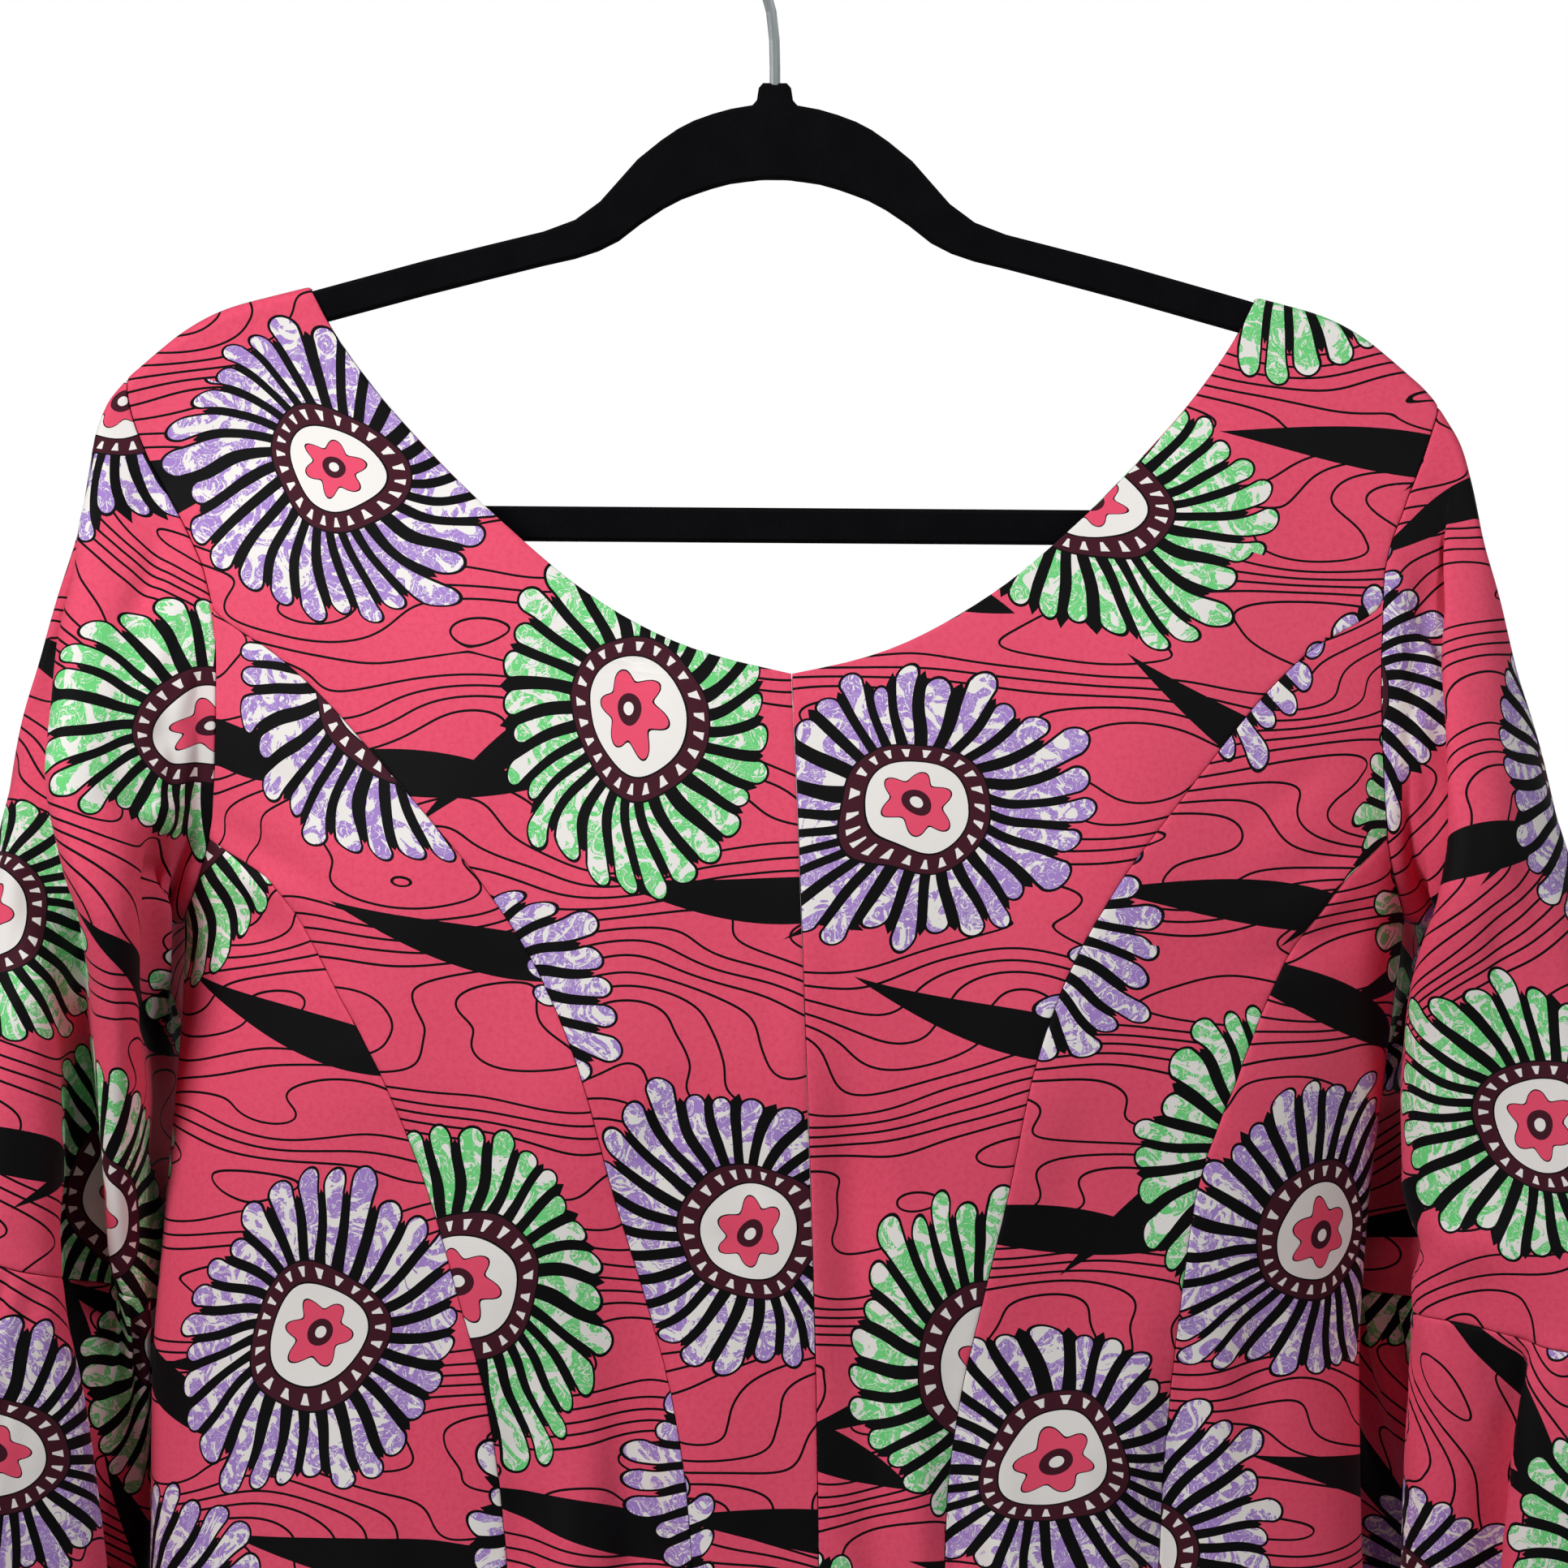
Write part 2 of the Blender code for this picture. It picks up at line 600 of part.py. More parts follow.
def sleeve_skins(name, side):
    armhole, normals, half = armhole_ring(side)
    turns = ring_turns(armhole, half)
    start = []
    for i, point in enumerate(armhole):
        along = armhole[(i + 1) % len(armhole)] - armhole[i - 1]
        outward = normals[i].cross(along).normalized() * side
        start.append(point + outward * SEAM_GAP * 1.6)
    rings = [sleeve_ring(name, side, share, start, turns) for share in SLEEVE_RINGS]
    ring_normals = ring_normals_of(rings, side)
    for k, hold in ((0, 1.0), (1, 0.5)):
        for i, normal in enumerate(normals):
            own = ring_normals[k][i]
            ring_normals[k][i] = own.lerp(normal, hold * ease(own.dot(normal))).normalized()
    inner = [
        [point - normal * CLOTH for point, normal in zip(ring, row)]
        for ring, row in zip(rings, ring_normals)
    ]
    return rings, inner, ring_normals[-1], turns


def between(ring):
    """A closed ring's points with the middle of each chord added."""
    doubled = []
    for i, point in enumerate(ring):
        doubled += [point, (point + ring[(i + 1) % len(ring)]) / 2]
    return doubled


def flounce_skins(name, side):
    """Waves that grow from the cuff seam to the hem of the flounce."""
    centre_x, centre_y, hem_z, half_width, half_depth, back, wave, tilt, fold_turn = FLOUNCES[name]
    sleeve, _, cuff_normals, own_turns = sleeve_skins(name, side)
    cuff = between(sleeve[-1])
    centre, _ = sleeve_ellipse(SLEEVES[name], side, 1, 0)
    turns = []
    for turn, following in zip(own_turns, own_turns[1:] + [2 * math.pi]):
        turns += [turn, (turn + following) / 2]
    rings = []
    for share in FLOUNCE_RINGS:
        ring = []
        for top, turn in zip(cuff, turns):
            hem = Vector((side * centre_x, centre_y, hem_z + tilt * math.cos(turn)))
            middle = centre.lerp(hem, share)
            hem.x += side * half_width * math.cos(turn)
            hem.y -= half_depth * math.sin(turn) + back * math.cos(turn)
            point = top.lerp(hem, lerp(share, ease(share), 0.35))
            point.z = lerp(top.z - SEAM_GAP * 1.6, hem.z, share)
            phase = FLOUNCE_WAVES * (turn - math.radians(fold_turn)) + 0.5 * math.sin(2 * turn)
            near_body = max(-math.cos(turn), 0.0)
            height = wave * ease(share * 1.1) * (1 + 0.25 * math.sin(3 * turn + 1) - 0.6 * near_body)
            outward = Vector((point.x - middle.x, point.y - middle.y, 0)).normalized()
            ring.append(point - outward * height * math.cos(phase))
        rings.append(ring)
    normals = ring_normals_of(rings, side)
    normals[0] = [normal.normalized() for normal in between(cuff_normals)]
    inner = [
        [point - normal * CLOTH for point, normal in zip(ring, row)]
        for ring, row in zip(rings, normals)
    ]
    return rings, inner


# Solids


def new_object(name, points, faces, material):
    mesh = bpy.data.meshes.new(name)
    mesh.from_pydata([tuple(point) for point in points], [], faces)
    mesh.validate()
    mesh.materials.append(material)
    made = bpy.data.objects.new(name, mesh)
    bpy.context.collection.objects.link(made)
    mesh.shade_smooth()
    mesh.set_sharp_from_angle(angle=math.radians(40))
    return made


def wall(name, outer, inner, closed, flipped, material):
    """One closed solid between an outer and an inner skin, each a list of rows. Rings are closed rows."""
    rows, count = len(outer), len(outer[0])
    points = [point for row in outer + inner for point in row]
    back = rows * count
    last = count if closed else count - 1
    faces = []
    for k in range(rows - 1):
        for i in range(last):
            a, b = k * count + i, k * count + (i + 1) % count
            c, d = b + count, a + count
            faces.append((a, d, c, b))
            faces.append((back + a, back + b, back + c, back + d))
    for i in range(last):
        a, b = i, (i + 1) % count
        faces.append((a, b, back + b, back + a))
        a, b = a + back - count, b + back - count
        faces.append((b, a, back + a, back + b))
    if not closed:
        for k in range(rows - 1):
            a, b = k * count, (k + 1) * count
            faces.append((b, a, back + a, back + b))
            a, b = a + count - 1, b + count - 1
            faces.append((a, b, back + b, back + a))
    if flipped:
        faces = [face[::-1] for face in faces]
    return new_object(name, points, faces, material)


def make_body(cloth):
    for where, is_front in (("front", True), ("back", False)):
        for panel in COLUMNS:
            for name, side in SIDES.items():
                outer, inner = panel_skins(panel, side, is_front)
                flipped = (side < 0) == is_front
                wall(f"{where}_{panel}_{name}", outer, inner, False, flipped, cloth)


def make_sleeves(cloth):
    for name, side in SIDES.items():
        rings, inner, _, _ = sleeve_skins(name, side)
        wall(f"sleeve_{name}", rings, inner, True, side > 0, cloth)
        rings, inner = flounce_skins(name, side)
        wall(f"flounce_{name}", rings, inner, True, side > 0, cloth)


def make_hanger(flock):
    """A flat moulded frame: a ring of bevelled sections between its outer and its inner edge."""
    right = list(HANGER_EDGE)
    left = [(-ox, oz, -ix, iz) for ox, oz, ix, iz in HANGER_EDGE[-2:0:-1]]
    sections = []
    half = HANGER_THICKNESS / 2
    for outer_x, outer_z, inner_x, inner_z in right + left:
        outer = Vector((outer_x, 0, outer_z - TILT * outer_x))
        inner = Vector((inner_x, 0, inner_z - TILT * inner_x))
        across = (inner - outer).normalized() * HANGER_BEVEL
        sides = []
        for edge, inset, y in (
            (outer, 0, half - HANGER_BEVEL),
            (outer, 1, half),
            (inner, -1, half),
            (inner, 0, half - HANGER_BEVEL),
            (inner, 0, HANGER_BEVEL - half),
            (inner, -1, -half),
            (outer, 1, -half),
            (outer, 0, HANGER_BEVEL - half),
        ):
            sides.append(edge + across * inset + Vector((0, y, 0)))
        sections.append(sides)
    count, corners = len(sections), len(sections[0])
    points = [point for section in sections for point in section]
    faces = []
    for k in range(count):
        for i in range(corners):
            a, b = k * corners + i, k * corners + (i + 1) % corners
            c = ((k + 1) % count) * corners
            faces.append((a, b, c + (i + 1) % corners, c + i))
    frame = new_object("hanger_frame", points, faces, flock)
    socket_radius = HOOK_WIRE / 2 + SEAM_GAP
    bpy.ops.mesh.primitive_cylinder_add(
        vertices=16,
        radius=socket_radius,
        depth=2 * HOOK_SOCKET_DEPTH,
        location=(0, 0, HANGER_EDGE[0][1]),
    )
    drill = bpy.context.object
    drill.name = "socket_drill"
    drill.hide_render = True
    drill.display_type = "WIRE"
    cut = frame.modifiers.new("socket", "BOOLEAN")
    cut.operation = "DIFFERENCE"
    cut.object = drill


def make_hook(steel):
    """Round wire: a shank out of the nub, a lean to the left, then the loop with its mouth to the right."""
    crown_z = HOOK_WIRE / 2
    centre_z = crown_z - HOOK_LOOP
    bottom_z = HANGER_EDGE[0][1] - HOOK_SOCKET_DEPTH + SEAM_GAP
    shank = [
        Vector((0, 0, bottom_z)),
        Vector((0, 0, -0.0830)),
        Vector((-0.0002, 0, -0.0740)),
        Vector((-0.0012, 0, -0.0650)),
        Vector((-0.0040, 0, -0.0550)),
        Vector((-0.0085, 0, -0.0455)),
        Vector((-0.0130, 0, -0.0370)),
    ]
    loop = []
    first, last, steps = math.radians(214), math.radians(-38), 26
    for i in range(steps + 1):
        turn = lerp(first, last, i / steps)
        loop.append(Vector((HOOK_LOOP * math.cos(turn), 0, centre_z + HOOK_LOOP * math.sin(turn))))
    line = bpy.data.curves.new("hook", "CURVE")
    line.dimensions = "3D"
    line.bevel_depth = HOOK_WIRE / 2
    line.bevel_resolution = 3
    line.use_fill_caps = True
    spline = line.splines.new("POLY")
    route = shank + loop
    spline.points.add(len(route) - 1)
    for point, at in zip(spline.points, route):
        point.co = (*at, 1)
    line.materials.append(steel)
    hook = bpy.data.objects.new("hook", line)
    bpy.context.collection.objects.link(hook)


def material(name, colour, roughness, metallic):
    made = bpy.data.materials.new(name)
    made.use_nodes = True
    shader = made.node_tree.nodes["Principled BSDF"]
    shader.inputs["Base Color"].default_value = (*colour, 1)
    shader.inputs["Roughness"].default_value = roughness
    shader.inputs["Metallic"].default_value = metallic
    return made


def main():
    for leftover in list(bpy.data.objects):
        bpy.data.objects.remove(leftover)
    cloth = material("printed_cotton", (0.72, 0.07, 0.15), 0.85, 0)
    flock = material("black_flock", (0.012, 0.012, 0.014), 0.95, 0)
    steel = material("bright_wire", (0.75, 0.76, 0.78), 0.22, 1)
    make_body(cloth)
    make_sleeves(cloth)
    make_hanger(flock)
    make_hook(steel)


main()
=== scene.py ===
"""The printed jacket top on its slim flocked hanger, dressed for its picture.

Each cloth piece is a thin shell on the form of its own solid. The sizes and the skin's functions are those
of the part's source, read here at finer steps. The lips of the sleeves' folds, the creases, puckers, turned
edges and the print are added here.
"""

import math

import bpy
import numpy as np
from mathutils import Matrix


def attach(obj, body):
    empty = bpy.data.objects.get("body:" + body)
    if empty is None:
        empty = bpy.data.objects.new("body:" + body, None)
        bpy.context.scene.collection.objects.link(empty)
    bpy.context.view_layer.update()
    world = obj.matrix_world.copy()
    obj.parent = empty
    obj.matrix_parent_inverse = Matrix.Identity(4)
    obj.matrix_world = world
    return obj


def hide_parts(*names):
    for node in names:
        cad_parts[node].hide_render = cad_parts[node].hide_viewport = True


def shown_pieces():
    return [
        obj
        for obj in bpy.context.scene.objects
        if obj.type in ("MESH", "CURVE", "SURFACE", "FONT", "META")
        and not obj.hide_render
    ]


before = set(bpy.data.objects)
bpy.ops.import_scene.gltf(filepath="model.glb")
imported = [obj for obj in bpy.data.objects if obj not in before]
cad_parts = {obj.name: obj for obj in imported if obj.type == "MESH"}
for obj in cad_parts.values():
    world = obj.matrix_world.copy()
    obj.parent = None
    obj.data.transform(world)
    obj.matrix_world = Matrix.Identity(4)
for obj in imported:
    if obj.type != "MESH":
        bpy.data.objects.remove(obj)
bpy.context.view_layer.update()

MM = 0.001
SIDES = {"left": -1, "right": 1}
SHEET = 0.45 * MM
SEAM_SHIFT = 0.12 * MM

SHOULDER_NECK_X = 0.1515
SHOULDER_NECK_Z = -0.155
SHOULDER_TIP_REACH = 0.2100
SHOULDER_TIP_Z = -0.190
PRINCESS_TOP_Z = -0.2545
SIDE_PRINCESS_TOP_Z = -0.3300
UNDERARM_Z = -0.3570
HEM_Z = -0.7550
TILT = 0.0070
TURN_RADIUS = 0.0044
TURN_TO_CHEST = 0.0900
BODY_SQUARENESS = 2.4
LEVEL_OUT = 3
YOKE_END = 0.65
FLOUNCE_WAVES = 7


# Curves and tables of sizes


def smooth_curve(keys, values):
    """A curve through the points that doesn't overshoot them, with steady ends."""
    keys, values = np.array(keys), np.array(values)
    steps = np.diff(keys)
    slopes = np.diff(values) / steps
    same_way = slopes[:-1] * slopes[1:] > 0
    sums = np.where(same_way, slopes[:-1] + slopes[1:], 1.0)
    inner = np.where(same_way, 2 * slopes[:-1] * slopes[1:] / sums, 0.0)
    tangents = np.concatenate([slopes[:1], inner, slopes[-1:]])

    def read(key):
        key = np.clip(key, keys[0], keys[-1])
        i = np.clip(np.searchsorted(keys, key, side="right") - 1, 0, len(steps) - 1)
        t = (key - keys[i]) / steps[i]
        return (
            values[i] * (1 + 2 * t) * (1 - t) ** 2
            + values[i + 1] * t * t * (3 - 2 * t)
            + tangents[i] * steps[i] * t * (1 - t) ** 2
            - tangents[i + 1] * steps[i] * t * t * (1 - t)
        )

    return read


class Table:
    """Rows of sizes under named columns. Each column is read as a smooth curve of the first one."""

    def __init__(self, names, *rows):
        ordered = sorted(rows)
        keys = [row[0] for row in ordered]
        for column, name in enumerate(names.split()[1:], 1):
            setattr(self, name, smooth_curve(keys, [row[column] for row in ordered]))


SHOULDER = Table(
    "reach z",
    (0.1300, -0.1490),
    (0.1515, -0.1548),
    (0.1620, -0.1575),
    (0.1720, -0.1602),
    (0.1770, -0.1620),
    (0.1820, -0.1643),
    (0.1900, -0.1692),
    (0.1970, -0.1748),
    (0.2030, -0.1800),
    (0.2075, -0.1840),
    (0.2125, -0.1900),
    (0.2180, -0.2010),
)
BODY = Table(
    "z centre half_width front back",
    (-0.1500, 0.0025, 0.2200, 0.012, 0.012),
    (-0.1900, 0.0025, 0.2165, 0.018, 0.018),
    (-0.2300, 0.0050, 0.2120, 0.032, 0.030),
    (-0.2700, 0.0075, 0.2065, 0.045, 0.040),
    (-0.3100, 0.0075, 0.2005, 0.054, 0.046),
    (-0.3570, 0.0062, 0.1950, 0.060, 0.049),
    (-0.4000, 0.0025, 0.1932, 0.060, 0.050),
    (-0.4500, -0.0028, 0.1925, 0.056, 0.049),
    (-0.5050, -0.0062, 0.1932, 0.052, 0.048),
    (-0.5650, -0.0060, 0.1940, 0.052, 0.050),
    (-0.6200, -0.0045, 0.1970, 0.058, 0.056),
    (-0.6900, -0.0030, 0.2030, 0.067, 0.064),
    (-0.7550, -0.0020, 0.2090, 0.075, 0.072),
)
SEAMS = Table(
    "z centre_front princess left_side right_side",
    (-0.1500, 0.0025, 0.2100, 0.2100, 0.2100),
    (-0.2545, 0.0045, 0.1885, 0.2000, 0.2000),
    (-0.2700, 0.0050, 0.1645, 0.1990, 0.1990),
    (-0.2850, 0.0056, 0.1480, 0.1980, 0.1980),
    (-0.2980, 0.0062, 0.1365, 0.1970, 0.1970),
    (-0.3230, 0.0073, 0.1155, 0.1900, 0.1900),
    (-0.3440, 0.0080, 0.0990, 0.1660, 0.1710),
    (-0.3720, 0.0090, 0.0823, 0.1490, 0.1497),
    (-0.4030, 0.0100, 0.0705, 0.1332, 0.1355),
    (-0.4410, 0.0113, 0.0615, 0.1195, 0.1207),
    (-0.4750, 0.0123, 0.0525, 0.1105, 0.1150),
    (-0.5050, 0.0130, 0.0452, 0.1032, 0.1118),
    (-0.5370, 0.0135, 0.0408, 0.0995, 0.1098),
    (-0.5650, 0.0138, 0.0396, 0.0982, 0.1094),
    (-0.6200, 0.0138, 0.0450, 0.1055, 0.1170),
    (-0.6900, 0.0130, 0.0565, 0.1220, 0.1330),
    (-0.7550, 0.0120, 0.0680, 0.1360, 0.1470),
)
ARMHOLE = Table(
    "z reach",
    (-0.1800, 0.2110),
    (-0.1900, 0.2095),
    (-0.2060, 0.2045),
    (-0.2235, 0.1965),
    (-0.2425, 0.1885),
    (-0.2545, 0.1860),
    (-0.2700, 0.1843),
    (-0.2900, 0.1838),
    (-0.3080, 0.1842),
    (-0.3200, 0.1850),
    (-0.3300, 0.1863),
    (-0.3400, 0.1886),
    (-0.3480, 0.1915),
    (-0.3570, 0.1950),
)
NECKLINE = Table(
    "share half_width z",
    (0.00, 0.1515, -0.1550),
    (0.15, 0.1448, -0.1680),
    (0.30, 0.1315, -0.1870),
    (0.45, 0.1150, -0.2058),
    (0.60, 0.0915, -0.2290),
    (0.75, 0.0637, -0.2520),
    (0.88, 0.0352, -0.2682),
    (0.94, 0.0201, -0.2733),
    (1.00, 0.0000, -0.2777),
)
BELOW_YOKE = Table(
    "share z",
    (0.65, -0.2545),
    (0.76, -0.2660),
    (0.86, -0.2755),
    (0.94, -0.2840),
    (1.00, -0.2920),
)
BELOW_YOKE_END_Z = -0.2920
TOP_BEND_Z = (-0.3100, -0.2920, -0.2840, -0.2755, -0.2660, -0.2545)
TOP_BEND_HOLD = (1 / 36, 4 / 36, 9 / 36, 16 / 36, 25 / 36, 1.0)
SEAM_JOIN = 0.0115

FRONT_FOLDS = (
    # top x, top z, bottom x, bottom z, depth, half width, share of its length where it is deepest
    (-0.055, -0.430, -0.029, -0.640, 0.0075, 0.0110, 0.75),
    (0.028, -0.475, 0.037, -0.640, 0.0070, 0.0090, 0.70),
    (-0.104, -0.470, -0.090, -0.680, 0.0040, 0.0140, 0.70),
    (0.126, -0.460, 0.128, -0.680, 0.0040, 0.0140, 0.70),
    (-0.188, -0.352, -0.118, -0.372, 0.0030, 0.0080, 0.25),
    (0.196, -0.352, 0.132, -0.375, 0.0030, 0.0080, 0.25),
)
BACK_FOLDS = (
    (-0.050, -0.440, -0.034, -0.650, 0.0060, 0.0110, 0.70),
    (0.062, -0.450, 0.046, -0.650, 0.0065, 0.0110, 0.70),
    (-0.118, -0.470, -0.108, -0.690, 0.0040, 0.0140, 0.70),
    (0.116, -0.465, 0.112, -0.690, 0.0045, 0.0140, 0.70),
    (-0.186, -0.352, -0.112, -0.378, 0.0030, 0.0080, 0.25),
    (0.194, -0.354, 0.118, -0.378, 0.0030, 0.0080, 0.25),
)
FLUTE_START_Z = -0.520
FLUTE_HEIGHT = {"centre": 0.0070, "middle": 0.0105, "side": 0.0080}

FRONT_CREASES = (
    # as the folds, with a ridge as a negative depth: small drag lines, tucks and soft troughs
    (-0.171, -0.300, -0.120, -0.338, 0.0011, 0.0050, 0.35),
    (-0.182, -0.322, -0.128, -0.352, 0.0014, 0.0045, 0.30),
    (-0.186, -0.338, -0.140, -0.350, -0.0012, 0.0040, 0.40),
    (0.182, -0.300, 0.134, -0.336, 0.0011, 0.0050, 0.35),
    (0.188, -0.330, 0.138, -0.352, 0.0014, 0.0045, 0.30),
    (0.190, -0.345, 0.150, -0.362, -0.0010, 0.0040, 0.40),
    (-0.040, -0.268, -0.046, -0.300, 0.0010, 0.0060, 0.25),
    (0.050, -0.264, 0.058, -0.300, 0.0008, 0.0060, 0.25),
    (-0.006, -0.340, 0.002, -0.410, 0.0009, 0.0045, 0.50),
    (0.022, -0.330, 0.018, -0.395, 0.0008, 0.0050, 0.50),
    (-0.096, -0.400, -0.078, -0.470, 0.0010, 0.0080, 0.50),
    (0.100, -0.395, 0.086, -0.470, 0.0010, 0.0080, 0.50),
    (-0.150, -0.430, -0.142, -0.540, 0.0026, 0.0090, 0.55),
    (0.154, -0.440, 0.150, -0.550, 0.0026, 0.0090, 0.55),
    (-0.058, -0.500, -0.074, -0.640, -0.0034, 0.0080, 0.50),
    (0.066, -0.495, 0.078, -0.640, -0.0032, 0.0080, 0.50),
    (-0.084, -0.470, -0.076, -0.600, 0.0034, 0.0070, 0.60),
    (0.098, -0.520, 0.128, -0.572, 0.0030, 0.0055, 0.50),
    (0.086, -0.560, 0.112, -0.600, 0.0026, 0.0050, 0.45),
    (-0.020, -0.395, -0.052, -0.452, 0.0018, 0.0060, 0.45),
    (0.034, -0.405, 0.060, -0.470, 0.0018, 0.0060, 0.45),
    (-0.043, -0.268, -0.047, -0.286, 0.0016, 0.0035, 0.40),
    (0.020, -0.370, 0.032, -0.560, 0.0062, 0.0090, 0.42),
    (-0.048, -0.470, -0.036, -0.650, 0.0064, 0.0085, 0.45),
    (0.054, -0.470, 0.060, -0.650, 0.0068, 0.0085, 0.45),
    (0.130, -0.450, 0.118, -0.640, 0.0052, 0.0090, 0.45),
    (-0.015, -0.426, 0.000, -0.445, 0.0020, 0.0036, 0.45),
    (-0.024, -0.452, -0.004, -0.462, 0.0016, 0.0034, 0.45),
    (-0.120, -0.440, -0.104, -0.620, 0.0056, 0.0090, 0.45),
)
BACK_CREASES = (
    (-0.176, -0.306, -0.118, -0.340, 0.0012, 0.0050, 0.35),
    (0.180, -0.304, 0.126, -0.342, 0.0012, 0.0050, 0.35),
    (-0.186, -0.330, -0.140, -0.352, 0.0013, 0.0045, 0.30),
    (0.188, -0.334, 0.142, -0.350, 0.0013, 0.0045, 0.30),
    (-0.030, -0.290, -0.022, -0.350, 0.0009, 0.0070, 0.40),
    (0.036, -0.300, 0.030, -0.360, 0.0009, 0.0070, 0.40),
    (-0.090, -0.400, -0.074, -0.480, 0.0011, 0.0090, 0.50),
    (0.096, -0.410, 0.080, -0.480, 0.0011, 0.0090, 0.50),
    (-0.150, -0.440, -0.144, -0.540, 0.0016, 0.0100, 0.55),
    (0.150, -0.440, 0.148, -0.550, 0.0016, 0.0100, 0.55),
)

SLEEVE_SIZES = "share outer_x outer_z inner_x inner_z inner_y half_depth"
SLEEVES = {
    "left": Table(
        SLEEVE_SIZES,
        (0.00, 0.2078, -0.1850, 0.1890, -0.3570, 0.000, 0.0240),
        (0.05, 0.2135, -0.1925, 0.1945, -0.3585, 0.000, 0.0262),
        (0.15, 0.2205, -0.2150, 0.1965, -0.3650, 0.001, 0.0330),
        (0.35, 0.2325, -0.2600, 0.1925, -0.3820, 0.008, 0.0440),
        (0.55, 0.2430, -0.3050, 0.1900, -0.4010, 0.022, 0.0520),
        (0.78, 0.2530, -0.3700, 0.1890, -0.4330, 0.035, 0.0560),
        (1.00, 0.2630, -0.4500, 0.1910, -0.4790, 0.040, 0.0560),
    ),
    "right": Table(
        SLEEVE_SIZES,
        (0.00, 0.2125, -0.1925, 0.2010, -0.3570, 0.000, 0.0240),
        (0.05, 0.2190, -0.2040, 0.2065, -0.3585, 0.000, 0.0262),
        (0.15, 0.2255, -0.2260, 0.2080, -0.3650, 0.001, 0.0330),
        (0.35, 0.2350, -0.2680, 0.2015, -0.3820, 0.008, 0.0450),
        (0.55, 0.2470, -0.3120, 0.1965, -0.4010, 0.024, 0.0540),
        (0.78, 0.2640, -0.3820, 0.1835, -0.4330, 0.043, 0.0590),
        (1.00, 0.2850, -0.4860, 0.1790, -0.4740, 0.047, 0.0600),
    ),
}
CUFF_DIP = {"left": 0.002, "right": 0.009}
FLOUNCES = {
    # hem centre x, y and z, half width, half depth, how far its inner side lies back, wave height,
    # tilt of the hem, a wave's turn
    "left": (0.2705, 0.014, -0.6900, 0.0630, 0.0720, 0.020, 0.0130, 0.010, 118),
    "right": (0.2790, 0.018, -0.6950, 0.0745, 0.0740, 0.030, 0.0130, 0.004, 150),
}
WAVE_LEAN = 0.8

# A fold lies on the sleeve's front or behind, and its outer or its inner lobe is the upper one
FRONT, BEHIND = 1, -1
OUTER_ON_TOP, INNER_ON_TOP = 1, -1
# Across a fold: where its valley and its ridge lie from its edge, how far they run out, its wall's width,
# and how far the valley runs towards the wall
FOLD_VALLEY = -0.0040
FOLD_RIDGE = 0.0075
FOLD_RUN = 0.0120
FOLD_WALL = 0.0052
VALLEY_RUN = FOLD_WALL * 1.5
FOLD_ROUNDNESS = 1.6


def fold(facing, upper, fullness, *rows):
    """A fold whose edge lies over the cloth beside it, with its ridge's share of the valley's depth.

    Each row gives, at a height, the edge's distance from the middle, the depth, and how far the edge leans.
    """
    return facing, upper, fullness, Table("z reach depth lean", *rows)


